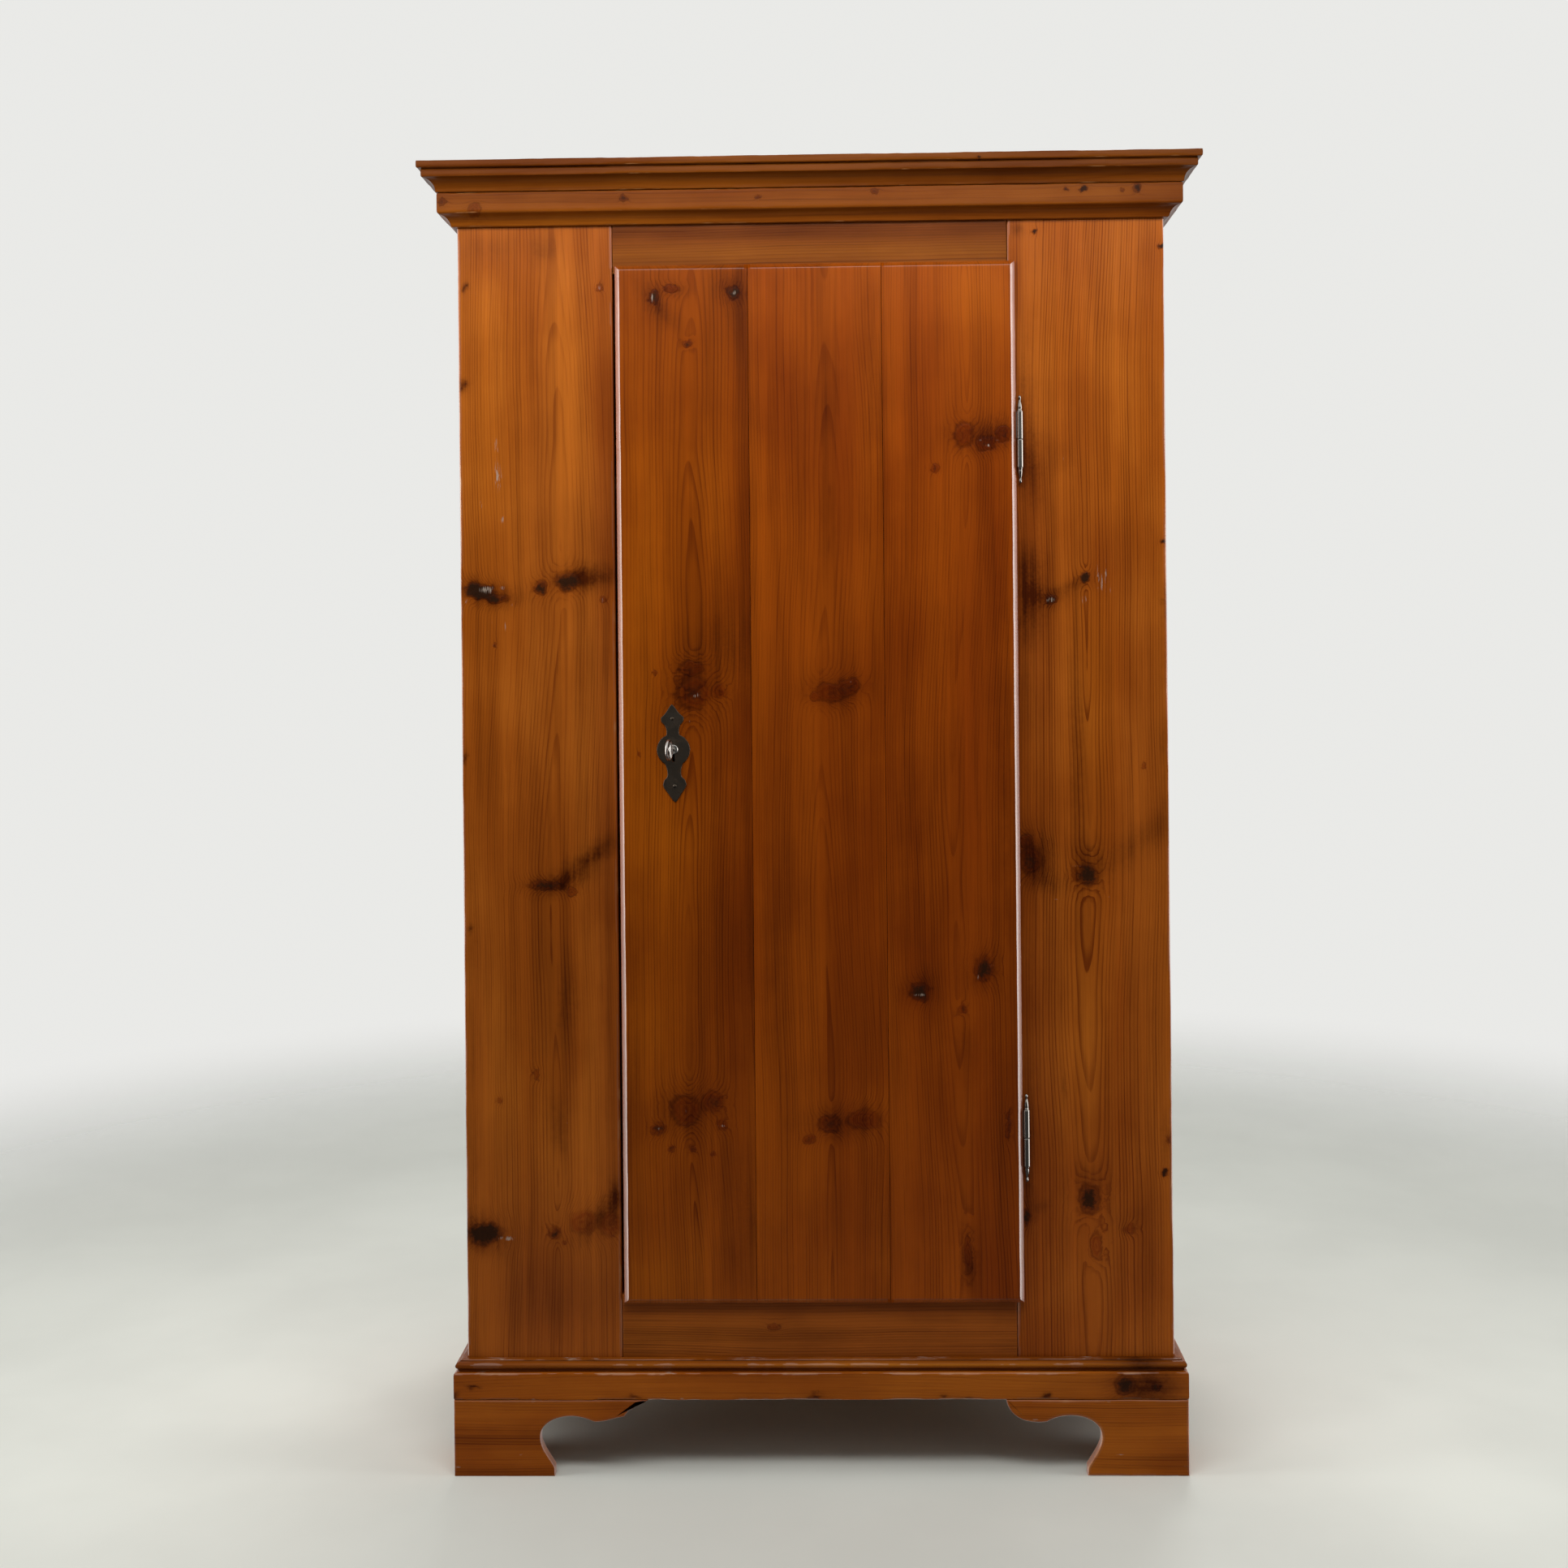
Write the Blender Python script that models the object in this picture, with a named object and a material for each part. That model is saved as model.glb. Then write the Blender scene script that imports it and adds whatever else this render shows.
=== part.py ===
"""A pine cupboard with one lipped door, a moulded cornice and ogee bracket feet.

Metres, +Z up, the front faces -Y. The origin is on the floor under the middle of the whole cupboard.
Depths are counted from the front face of the frame towards the back.
"""
import math

import bmesh
import bpy
from mathutils import Matrix, Vector
from mathutils.geometry import interpolate_bezier

# Driving dimensions of the whole cupboard
BODY_WIDTH = 1.000
BODY_DEPTH = 0.500
FOOT_HEIGHT = 0.107
BODY_TOP = 1.837

# The clearance between pieces that touch, the overrun of every cut, and the worn arris of a board
FIT = 0.0003
OVERRUN = 0.002
ARRIS = 0.0015

# Sides, top board, bottom board and back
SIDE_THICK = 0.022
TOP_THICK = 0.020
BOTTOM_THICK = 0.022
BOTTOM_BELOW_OPENING = 0.045
HOUSING_DEPTH = 0.008
BACK_THICK = 0.012
BACK_REBATE = 0.011
BACK_LAP = 0.008
BACK_BOARD_COUNT = 4

# Front frame of two wide stiles and two rails
FRAME_THICK = 0.025
STILE_WIDTH = 0.2205
TENON_LENGTH = 0.040
TENON_THICK = 0.009
TENON_SHOULDER = 0.018

# Shelves and their cleats
SHELF_COUNT = 3
SHELF_THICK = 0.020
SHELF_BEHIND_LOCK = 0.0117
SHELF_PLAY = 0.001
CLEAT_HEIGHT = 0.028
CLEAT_THICK = 0.018
CLEAT_SETBACK = 0.020
CLEAT_CHAMFER = 0.006

# Cornice: a crown moulding over a frieze board, both planted on the carcass
CORNICE_PROUD = 0.047
CROWN_RIM = 0.013
CROWN_HEIGHT = 0.040
CROWN_FILLET = 0.010
CROWN_QUIRK = 0.0022
CROWN_FLAT_PROUD = 0.0415
CROWN_FLAT = 0.0095
CROWN_LIP = 0.0015
FRIEZE_PROUD = 0.0235
FRIEZE_HEIGHT = 0.0447
FRIEZE_COVE = 0.0155
FRIEZE_TOE = 0.007

# Plinth boards and the base moulding above them
PLINTH_PROUD = 0.017
PLINTH_HEIGHT = 0.0382
PLINTH_EASE = 0.0015
BASE_HEIGHT = 0.0163
BASE_FILLET_PROUD = 0.0085
BASE_FILLET = 0.0024
BASE_TORUS_PROUD = 0.0150
BASE_QUIRK_PROUD = 0.0115
BASE_QUIRK = 0.0042

# Bracket feet; the outline is in shares of the foot's span and height
FOOT_SPAN = 0.2555
FOOT_TOE = 0.142
SIDE_FOOT_SPAN = 0.200
SIDE_FOOT_TOE = 0.112
BLOCK_SIZE = 0.052
BLOCK_CHAMFER = 0.014

# Door of three boards with a lip and a chamfer all round. It has shrunk clear of the left stile
DOOR_ABOVE_FEET = 0.133
DOOR_BELOW_BODY_TOP = 0.130
DOOR_SHRINKAGE_GAP = 0.004
DOOR_THICK = 0.028
DOOR_PROUD = 0.013
DOOR_OVERLAP = 0.010
DOOR_BOARD_COUNT = 3
LIP_WIDTH = 0.0125
LIP_CLEARANCE = 0.0005
CHAMFER_WIDTH = 0.0065
CHAMFER_DEPTH = 0.0060
BATTEN_HEIGHT = 0.070
BATTEN_PROUD = 0.020
BATTEN_INSET = 0.150
BATTEN_END_GAP = 0.030
BATTEN_CHAMFER = 0.006
DOVETAIL_DEPTH = 0.006
DOVETAIL_FLARE = 0.003

# Pin hinges with turned finials
HINGE_BELOW_DOOR_TOP = 0.252
HINGE_ABOVE_DOOR_BOTTOM = 0.231
BARREL_RADIUS = 0.0047
KNUCKLE_LENGTH = 0.0395
KNUCKLE_GAP = 0.0006
PIN_RADIUS = 0.0025
PIN_CLEARANCE = 0.0003
FINIAL_LENGTH = 0.022
FINIAL_RADIUS = 0.0036
HINGE_EDGE_GAP = 0.0004
HINGE_FACE_GAP = 0.0008
LEAF_THICK = 0.002
LEAF_WALL_SHARE = 0.4
LEAF_COVER = 0.006
DOOR_LEAF_LENGTH = 0.024
LEAF_END_GAP = 0.0015
DOOR_OPENS_DEGREES = 160.0

# Lock, its plate, bolt and key
LOCK_FROM_EDGE = 0.0778
LOCK_ABOVE_DOOR_BOTTOM = 0.783
PLATE_THICK = 0.0014
PLATE_BEVEL = 0.0006
PLATE_HALF_WIDTH = 0.0234
PLATE_UP = 0.0634
PLATE_DOWN = 0.0743
PLATE_TILT_DEGREES = 1.6
KEYHOLE_PLAY = 0.0011
KEYHOLE_SLOT_PLAY = 0.0012
KEYHOLE_SPARE = 0.0032
NAIL_UP = 0.0435
NAIL_DOWN = 0.0515
NAIL_HEAD_RADIUS = 0.0026
NAIL_HEAD_HEIGHT = 0.0013
NAIL_RADIUS = 0.0009
NAIL_LENGTH = 0.010
CASE_WALL = 0.002
CASE_EDGE_GAP = 0.002
CASE_BEHIND_KEY = 0.042
CASE_HEADROOM = 0.0065
CASE_FOOTROOM = 0.016
CASE_RIB_SETBACK = 0.016
BOLT_HEIGHT = 0.012
BOLT_THICK = 0.005
BOLT_OVER_BIT = 0.0015
BOLT_BEHIND_FRAME = 0.0011
BOLT_BACK_GAP = 0.0022
BOLT_TAIL_GAP = 0.003
BOLT_THROW = 0.025
TALON_WIDTH = 0.008
TALON_DEPTH = 0.003
KEY_SHANK_RADIUS = 0.0031
KEY_COLLAR_RADIUS = 0.0066
KEY_COLLAR_GAP = 0.0012
KEY_COLLAR_THICK = 0.0016
KEY_NECK = 0.0050
KEY_BOW_HALF_HEIGHT = 0.0155
KEY_BOW_DEPTH = 0.0220
KEY_BOW_ROD = 0.0019
KEY_BOW_BEND_DEGREES = 18.0
KEY_BOW_DENT_SHARE = 0.22
KEY_BOW_DENT_POWER = 6
KEY_BIT_REACH = 0.0140
KEY_BIT_THICK = 0.0024
KEY_BIT_START = 0.0035
KEY_BIT_LENGTH = 0.0075
KEY_BIT_NOTCH = 0.0018
KEY_TIP = 0.0025
KEY_TIP_SHARE = 0.8
KEY_COLLAR_EASE_SHARE = 0.9

# How finely round pieces are faceted
TURNED_SIDES = 20
SMALL_SIDES = 12
CURVE_STEPS = 7
SMOOTH_DEGREES = 32.0

# Places that follow from the sizes above
HALF_WIDTH = BODY_WIDTH / 2
FACE_Y = (CORNICE_PROUD - BODY_DEPTH) / 2
INNER_HALF_WIDTH = HALF_WIDTH - SIDE_THICK
TOP_UNDERSIDE = BODY_TOP - TOP_THICK
CROWN_TOP = BODY_TOP + CROWN_RIM
CROWN_UNDERSIDE = CROWN_TOP - CROWN_HEIGHT
FRIEZE_UNDERSIDE = CROWN_UNDERSIDE - FRIEZE_HEIGHT
PLINTH_TOP = FOOT_HEIGHT + PLINTH_HEIGHT
BASE_TOP = PLINTH_TOP + BASE_HEIGHT
DOOR_BOTTOM = FOOT_HEIGHT + DOOR_ABOVE_FEET
DOOR_TOP = BODY_TOP - DOOR_BELOW_BODY_TOP
OPENING_BOTTOM = DOOR_BOTTOM + DOOR_OVERLAP
OPENING_TOP = DOOR_TOP - DOOR_OVERLAP
BOTTOM_TOP = OPENING_BOTTOM - BOTTOM_BELOW_OPENING
BOTTOM_UNDERSIDE = BOTTOM_TOP - BOTTOM_THICK
OPENING_HALF_WIDTH = HALF_WIDTH - STILE_WIDTH
DOOR_RIGHT = OPENING_HALF_WIDTH + DOOR_OVERLAP
DOOR_LEFT = DOOR_SHRINKAGE_GAP - OPENING_HALF_WIDTH
DOOR_BACK = DOOR_THICK - DOOR_PROUD
HINGE_UPPER = DOOR_TOP - HINGE_BELOW_DOOR_TOP
HINGE_LOWER = DOOR_BOTTOM + HINGE_ABOVE_DOOR_BOTTOM
FRAME_LEAF_DEPTH = FRAME_THICK - LEAF_COVER
HINGE_X = DOOR_RIGHT + HINGE_EDGE_GAP + BARREL_RADIUS
HINGE_DEPTH = -HINGE_FACE_GAP - BARREL_RADIUS
LOCK_X = DOOR_LEFT + LOCK_FROM_EDGE
LOCK_HEIGHT = DOOR_BOTTOM + LOCK_ABOVE_DOOR_BOTTOM
BOLT_ABOVE_KEY = KEY_BIT_REACH + BOLT_OVER_BIT
BOLT_FRONT = FRAME_THICK + BOLT_BEHIND_FRAME
BOLT_BACK = BOLT_FRONT + BOLT_THICK
CASE_BACK = BOLT_BACK + BOLT_BACK_GAP + CASE_WALL
SHELF_SETBACK = CASE_BACK + SHELF_BEHIND_LOCK

# Colours of the finishes: red, green, blue, roughness, metallic
FINISHES = {
    "front_pine": (0.30, 0.085, 0.012, 0.34, 0.0),
    "inner_pine": (0.42, 0.20, 0.075, 0.62, 0.0),
    "shaded_pine": (0.17, 0.055, 0.014, 0.55, 0.0),
    "bright_steel": (0.52, 0.50, 0.47, 0.32, 1.0),
    "dark_iron": (0.045, 0.036, 0.030, 0.42, 1.0),
}

for old in list(bpy.data.objects):
    bpy.data.objects.remove(old, do_unlink=True)


def finish_material(name, finish):
    """The piece's own material in one of the cupboard's finishes."""
    red, green, blue, roughness, metallic = FINISHES[finish]
    material = bpy.data.materials.new(name)
    material.use_nodes = True
    shader = material.node_tree.nodes["Principled BSDF"]
    shader.inputs["Base Color"].default_value = (red, green, blue, 1.0)
    shader.inputs["Roughness"].default_value = roughness
    shader.inputs["Metallic"].default_value = metallic
    return material


def at(x, depth, z):
    """A point of the cupboard: x from the middle, depth behind the frame's face, z from the floor."""
    return Vector((x, FACE_Y + depth, z))


def loft(rings, closed=False):
    """A closed solid through rings of points. A closed loft joins its last ring to its first."""
    solid = bmesh.new()
    rows = [[solid.verts.new(point) for point in ring] for ring in rings]
    pairs = list(zip(rows, rows[1:]))
    if closed:
        pairs.append((rows[-1], rows[0]))
    else:
        solid.faces.new(rows[0])
        solid.faces.new(rows[-1])
    for lower, upper in pairs:
        for index in range(len(lower)):
            following = (index + 1) % len(lower)
            solid.faces.new((lower[index], lower[following], upper[following], upper[index]))
    bmesh.ops.recalc_face_normals(solid, faces=solid.faces)
    return solid


def section_along_x(outline, start, stop):
    """A section of (depth, z) points, sawn along the width."""
    return loft([[at(x, depth, z) for depth, z in outline] for x in (start, stop)])


def section_along_z(outline, start, stop):
    """A section of (x, depth) points, sawn along the height."""
    return loft([[at(x, depth, z) for x, depth in outline] for z in (start, stop)])


def section_along_depth(outline, start, stop):
    """A section of (x, z) points, sawn along the depth."""
    return loft([[at(x, depth, z) for x, z in outline] for depth in (start, stop)])


def block(low, high):
    """A plain rectangular piece between two corners, each given as x, depth and z."""
    rectangle = ((low[0], low[1]), (high[0], low[1]), (high[0], high[1]), (low[0], high[1]))
    return section_along_z(rectangle, low[2], high[2])


def eased_block(low, high, ease=ARRIS):
    """A rectangular board with every arris worn to a small bevel."""
    solid = block(low, high)
    bmesh.ops.bevel(solid, geom=list(solid.edges), offset=ease, segments=1, affect="EDGES")
    return solid


def circle(radius, sides):
    """The points of a circle as pairs, the first on the first axis."""
    steps = [2 * math.pi * index / sides for index in range(sides)]
    return [(radius * math.cos(angle), radius * math.sin(angle)) for angle in steps]


def turned_upright(x, depth, profile, sides, closed=False):
    """A turned piece on an upright axis, from (radius, height) pairs."""
    rings = []
    for radius, height in profile:
        rings.append([at(x + across, depth + along, height) for across, along in circle(radius, sides)])
    return loft(rings, closed)


def turned_through_door(x, z, profile, sides):
    """A turned piece on an axis through the door, from (radius, depth) pairs."""
    rings = []
    for radius, depth in profile:
        rings.append([at(x + across, depth, z + up) for across, up in circle(radius, sides)])
    return loft(rings)


def curve(pieces, steps=CURVE_STEPS):
    """Points along a chain of Bezier pieces, each of four (a, b) pairs. The first point is left out."""
    points = []
    for piece in pieces:
        corners = [Vector((a, b, 0.0)) for a, b in piece]
        points.extend((p.x, p.y) for p in interpolate_bezier(*corners, steps)[1:])
    return points


def to_mesh(name, solid):
    """A mesh from a solid."""
    mesh = bpy.data.meshes.new(name)
    solid.to_mesh(mesh)
    solid.free()
    return mesh


def piece(name, solid, finish, axis=None, rounded=False):
    """One named piece. A moving piece hangs on the empty of its axis, with its origin there."""
    mesh = to_mesh(name, solid)
    mesh.materials.append(finish_material(name, finish))
    if rounded:
        mesh.shade_smooth()
        mesh.set_sharp_from_angle(angle=math.radians(SMOOTH_DEGREES))
    made = bpy.data.objects.new(name, mesh)
    bpy.context.scene.collection.objects.link(made)
    if axis is not None:
        mesh.transform(Matrix.Translation(-axis["place"]))
        made.parent = axis["empty"]
    return made


def turning_axis(name, place):
    """An empty on a joint's axis."""
    empty = bpy.data.objects.new(name, None)
    empty.location = place
    bpy.context.scene.collection.objects.link(empty)
    return {"empty": empty, "place": place}


def shape_with(target, solid, operation, label):
    """Cuts a solid out of a piece, adds it, or keeps only what both hold."""
    tool = bpy.data.objects.new(target.name + "_" + label, to_mesh(label, solid))
    tool.hide_render = True
    tool.display_type = "WIRE"
    bpy.context.scene.collection.objects.link(tool)
    change = target.modifiers.new(label, "BOOLEAN")
    change.operation = operation
    change.solver = "EXACT"
    change.object = tool


def cut(target, solid, label):
    """Cuts a solid out of a piece."""
    shape_with(target, solid, "DIFFERENCE", label)


# Carcass: the side boards are rebated at the back, and the bottom board is let into them
for side, sign in (("left", -1), ("right", 1)):
    outer = sign * HALF_WIDTH
    inner = sign * INNER_HALF_WIDTH
    rebate = sign * (INNER_HALF_WIDTH + BACK_REBATE)
    rebate_depth = BODY_DEPTH - BACK_THICK - FIT
    side_front = FRAME_THICK + FIT
    side_section = ((outer, side_front), (inner, side_front), (inner, rebate_depth),
                    (rebate, rebate_depth), (rebate, BODY_DEPTH), (outer, BODY_DEPTH))
    side_board = piece(f"side_board_{side}",
                       section_along_z(side_section, FOOT_HEIGHT, TOP_UNDERSIDE - FIT), "front_pine")
    housing_end = sign * (INNER_HALF_WIDTH + HOUSING_DEPTH)
    housing_lip = sign * (INNER_HALF_WIDTH - OVERRUN)
    cut(side_board, block(
        (min(housing_end, housing_lip), side_front - OVERRUN, BOTTOM_UNDERSIDE),
        (max(housing_end, housing_lip), rebate_depth + OVERRUN, BOTTOM_TOP)), "housing")

bottom_reach = INNER_HALF_WIDTH + HOUSING_DEPTH - FIT
piece("bottom_board", block(
    (-bottom_reach, FRAME_THICK + FIT, BOTTOM_UNDERSIDE + FIT),
    (bottom_reach, BODY_DEPTH - BACK_THICK - FIT, BOTTOM_TOP - FIT)), "inner_pine")
piece("top_board", block(
    (-HALF_WIDTH, 0, TOP_UNDERSIDE), (HALF_WIDTH, BODY_DEPTH, BODY_TOP)), "shaded_pine")

# Back: boards lapped over each other, their outer edges in the rebates of the sides
back_span = 2 * (INNER_HALF_WIDTH + BACK_REBATE - FIT)
back_pitch = back_span / BACK_BOARD_COUNT
back_front = BODY_DEPTH - BACK_THICK
back_middle = BODY_DEPTH - BACK_THICK / 2
for number in range(BACK_BOARD_COUNT):
    left = -back_span / 2 + number * back_pitch
    right = left + back_pitch
    front_left = left + FIT / 2 if number else left
    back_left = left + BACK_LAP if number else left
    last = number == BACK_BOARD_COUNT - 1
    front_right = right if last else right - FIT / 2
    back_right = right if last else right + BACK_LAP - FIT
    back_section = ((front_left, back_front), (front_right, back_front),
                    (front_right, back_middle + FIT / 2), (back_right, back_middle + FIT / 2),
                    (back_right, BODY_DEPTH), (back_left, BODY_DEPTH),
                    (back_left, back_middle - FIT / 2), (front_left, back_middle - FIT / 2))
    if number == 0:
        back_section = back_section[:5] + ((left, BODY_DEPTH),)
    if last:
        back_section = ((front_left, back_front), (right, back_front)) + back_section[4:]
    piece(f"back_board_{number + 1}",
          section_along_z(back_section, FOOT_HEIGHT, TOP_UNDERSIDE - FIT), "shaded_pine")

# Front frame: the rails are tenoned into the stiles
frame_top = TOP_UNDERSIDE - FIT
tenon_front = (FRAME_THICK - TENON_THICK) / 2
rail_spans = {"top": (OPENING_TOP, frame_top), "bottom": (FOOT_HEIGHT, OPENING_BOTTOM)}
stiles = {}
for side, sign in (("left", -1), ("right", 1)):
    edges = sorted((sign * HALF_WIDTH, sign * OPENING_HALF_WIDTH))
    stiles[side] = piece(f"stile_{side}", eased_block(
        (edges[0], 0, FOOT_HEIGHT), (edges[1], FRAME_THICK, frame_top)), "front_pine")
    for rail, (low, high) in rail_spans.items():
        mortise = sorted((sign * (OPENING_HALF_WIDTH - OVERRUN),
                          sign * (OPENING_HALF_WIDTH + TENON_LENGTH + FIT)))
        cut(stiles[side], block(
            (mortise[0], tenon_front - FIT, low + TENON_SHOULDER - FIT),
            (mortise[1], tenon_front + TENON_THICK + FIT, high - TENON_SHOULDER + FIT)),
            f"{rail}_mortise")
for rail, (low, high) in rail_spans.items():
    shoulder = OPENING_HALF_WIDTH - FIT
    reach = OPENING_HALF_WIDTH + TENON_LENGTH
    rail_outline = ((-shoulder, low), (shoulder, low), (shoulder, low + TENON_SHOULDER),
                    (reach, low + TENON_SHOULDER), (reach, high - TENON_SHOULDER),
                    (shoulder, high - TENON_SHOULDER), (shoulder, high), (-shoulder, high),
                    (-shoulder, high - TENON_SHOULDER), (-reach, high - TENON_SHOULDER),
                    (-reach, low + TENON_SHOULDER), (-shoulder, low + TENON_SHOULDER))
    rail_board = piece(f"rail_{rail}", section_along_depth(rail_outline, 0, FRAME_THICK), "front_pine")
    for sign in (-1, 1):
        ends = sorted((sign * shoulder, sign * (reach + OVERRUN)))
        for front, back, label in ((-OVERRUN, tenon_front, "front_cheek"),
                                   (tenon_front + TENON_THICK, FRAME_THICK + OVERRUN, "back_cheek")):
            cut(rail_board, block((ends[0], front, low), (ends[1], back, high)),
                f"{label}_{'left' if sign < 0 else 'right'}")

# Shelves on cleats nailed to the sides
shelf_pitch = (TOP_UNDERSIDE - BOTTOM_TOP) / (SHELF_COUNT + 1)
shelf_back = BODY_DEPTH - BACK_THICK - FIT
shelf_half = INNER_HALF_WIDTH - SHELF_PLAY
for number in range(SHELF_COUNT):
    shelf_top = BOTTOM_TOP + (number + 1) * shelf_pitch
    shelf_under = shelf_top - SHELF_THICK
    piece(f"shelf_{number + 1}", eased_block(
        (-shelf_half, SHELF_SETBACK, shelf_under), (shelf_half, shelf_back, shelf_top)), "inner_pine")
    for side, sign in (("left", -1), ("right", 1)):
        wall = sign * (INNER_HALF_WIDTH - FIT)
        free = wall - sign * CLEAT_THICK
        upper = shelf_under - FIT
        lower = upper - CLEAT_HEIGHT
        cleat_section = ((wall, lower), (free + sign * CLEAT_CHAMFER, lower),
                         (free, lower + CLEAT_CHAMFER), (free, upper), (wall, upper))
        piece(f"shelf_cleat_{side}_{number + 1}", section_along_depth(
            cleat_section, SHELF_SETBACK + CLEAT_SETBACK, shelf_back - CLEAT_SETBACK), "inner_pine")


def quarter(start, stop, bulge, steps=CURVE_STEPS):
    """A quarter of an ellipse between two points, leaving along the first axis if bulge is 0."""
    points = []
    for index in range(1, steps + 1):
        angle = math.pi / 2 * index / steps
        shares = (math.sin(angle), 1 - math.cos(angle))
        first, second = shares if bulge == 0 else shares[::-1]
        points.append((start[0] + (stop[0] - start[0]) * first, start[1] + (stop[1] - start[1]) * second))
    return points


MITRE_SHARE = math.sqrt(1 / 2)


def planted_run(name, profile, finish):
    """Plants a moulding of (proud, z) points round the front and both sides, mitred at the corners."""
    half_gap = FIT * MITRE_SHARE
    front = [[at(sign * (HALF_WIDTH + proud - half_gap), -proud, z) for proud, z in profile]
             for sign in (-1, 1)]
    piece(f"{name}_front", loft(front), finish, rounded=True)
    for side, sign in (("left", -1), ("right", 1)):
        mitre = [at(sign * (HALF_WIDTH + proud), half_gap - proud, z) for proud, z in profile]
        rear = [at(sign * (HALF_WIDTH + proud), BODY_DEPTH, z) for proud, z in profile]
        piece(f"{name}_{side}", loft([mitre, rear]), finish, rounded=True)


# Cornice: the crown's fillet, quirk, flat and cove, then the frieze with its own cove below
crown_quirk_top = CROWN_TOP - CROWN_FILLET
crown_flat_top = crown_quirk_top - CROWN_QUIRK
crown_cove_top = crown_flat_top - CROWN_FLAT
crown_cove_foot = CROWN_UNDERSIDE + FIT + CROWN_LIP
crown_inner = FRIEZE_PROUD + CROWN_LIP
crown_profile = [(FIT, CROWN_UNDERSIDE + FIT), (crown_inner, CROWN_UNDERSIDE + FIT),
                 (crown_inner, crown_cove_foot)]
crown_profile += quarter((crown_inner, crown_cove_foot), (CROWN_FLAT_PROUD - CROWN_LIP, crown_cove_top), 1)
crown_profile += [(CROWN_FLAT_PROUD, crown_cove_top),
                  (CROWN_FLAT_PROUD, crown_flat_top - CROWN_LIP / 2),
                  (CROWN_FLAT_PROUD - CROWN_LIP / 2, crown_flat_top),
                  (CROWN_FLAT_PROUD - CROWN_LIP, crown_quirk_top),
                  (CORNICE_PROUD - CROWN_LIP, crown_quirk_top),
                  (CORNICE_PROUD, crown_quirk_top + CROWN_LIP),
                  (CORNICE_PROUD, CROWN_TOP - CROWN_LIP),
                  (CORNICE_PROUD - CROWN_LIP, CROWN_TOP), (FIT, CROWN_TOP)]
planted_run("crown_moulding", crown_profile, "front_pine")

frieze_profile = [(FIT, FRIEZE_UNDERSIDE), (FRIEZE_TOE, FRIEZE_UNDERSIDE)]
frieze_profile += quarter((FRIEZE_TOE, FRIEZE_UNDERSIDE),
                          (FRIEZE_PROUD - ARRIS, FRIEZE_UNDERSIDE + FRIEZE_COVE), 1)
frieze_profile += [(FRIEZE_PROUD, FRIEZE_UNDERSIDE + FRIEZE_COVE + ARRIS),
                   (FRIEZE_PROUD, CROWN_UNDERSIDE), (FIT, CROWN_UNDERSIDE)]
planted_run("frieze_board", frieze_profile, "front_pine")

# Plinth boards, and the base moulding of a fillet, a torus and a quirk that stands on them
planted_run("plinth_board", [
    (FIT, FOOT_HEIGHT), (PLINTH_PROUD, FOOT_HEIGHT), (PLINTH_PROUD, PLINTH_TOP - PLINTH_EASE),
    (PLINTH_PROUD - PLINTH_EASE, PLINTH_TOP), (FIT, PLINTH_TOP)], "front_pine")

torus_foot = PLINTH_TOP + FIT + BASE_QUIRK
torus_top = BASE_TOP - BASE_FILLET
torus_middle = (torus_foot + torus_top) / 2
base_profile = [(FIT, PLINTH_TOP + FIT), (BASE_QUIRK_PROUD, PLINTH_TOP + FIT),
                (BASE_QUIRK_PROUD, torus_foot)]
base_profile += quarter((BASE_QUIRK_PROUD, torus_foot), (BASE_TORUS_PROUD, torus_middle), 0)
base_profile += quarter((BASE_TORUS_PROUD, torus_middle), (BASE_FILLET_PROUD, torus_top), 1)
base_profile += [(BASE_FILLET_PROUD, BASE_TOP), (FIT, BASE_TOP)]
planted_run("base_moulding", base_profile, "front_pine")

# The foot's inner outline: up from the toe, round the scoop to the cusp, and along the lobe
TOE_LAND_SHARE = 0.11
FOOT_CURVE_SHARES = (
    ((0.556, 0.110), (0.521, 0.262), (0.474, 0.374), (0.478, 0.542)),
    ((0.478, 0.542), (0.482, 0.748), (0.646, 0.888), (0.779, 0.706)),
    ((0.779, 0.706), (0.900, 0.675), (0.985, 0.780), (1.000, 1.000)),
)


def foot_outline(span, toe):
    """The bracket foot's outline of (along, z) points, from the outer corner inwards."""
    top = FOOT_HEIGHT - FIT
    toe_share = FOOT_CURVE_SHARES[0][0][0]
    pieces = []
    for shares in FOOT_CURVE_SHARES:
        pieces.append([(along * span + (toe - toe_share * span) * max(0, 1 - up / TOE_LAND_SHARE),
                        up * top) for along, up in shares])
    start = pieces[0][0]
    return [(0, 0), (toe, 0), start] + curve(pieces) + [(0, top)]


def bracket_foot(name, span, toe, place, mitre):
    """A foot board cut to the ogee outline. place gives a point from along, inward and z."""
    outline = foot_outline(span, toe)
    thick = PLINTH_PROUD - FIT
    outer = [place(along if along else mitre, 0, z) for along, z in outline]
    inner = [place(along if along else max(mitre, thick if mitre else 0), thick, z)
             for along, z in outline]
    return piece(name, loft([outer, inner]), "front_pine", rounded=True)


def front_foot_place(sign):
    """Places points of a front foot, counted from the corner on the sign's side."""
    return lambda along, inward, z: at(sign * (outer_half - along), inward - PLINTH_PROUD, z)


def side_foot_place(sign, corner_depth, runs):
    """Places points of a side foot that starts at a depth and runs back (1) or forward (-1)."""
    return lambda along, inward, z: at(sign * (outer_half - inward), corner_depth + runs * along, z)


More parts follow.
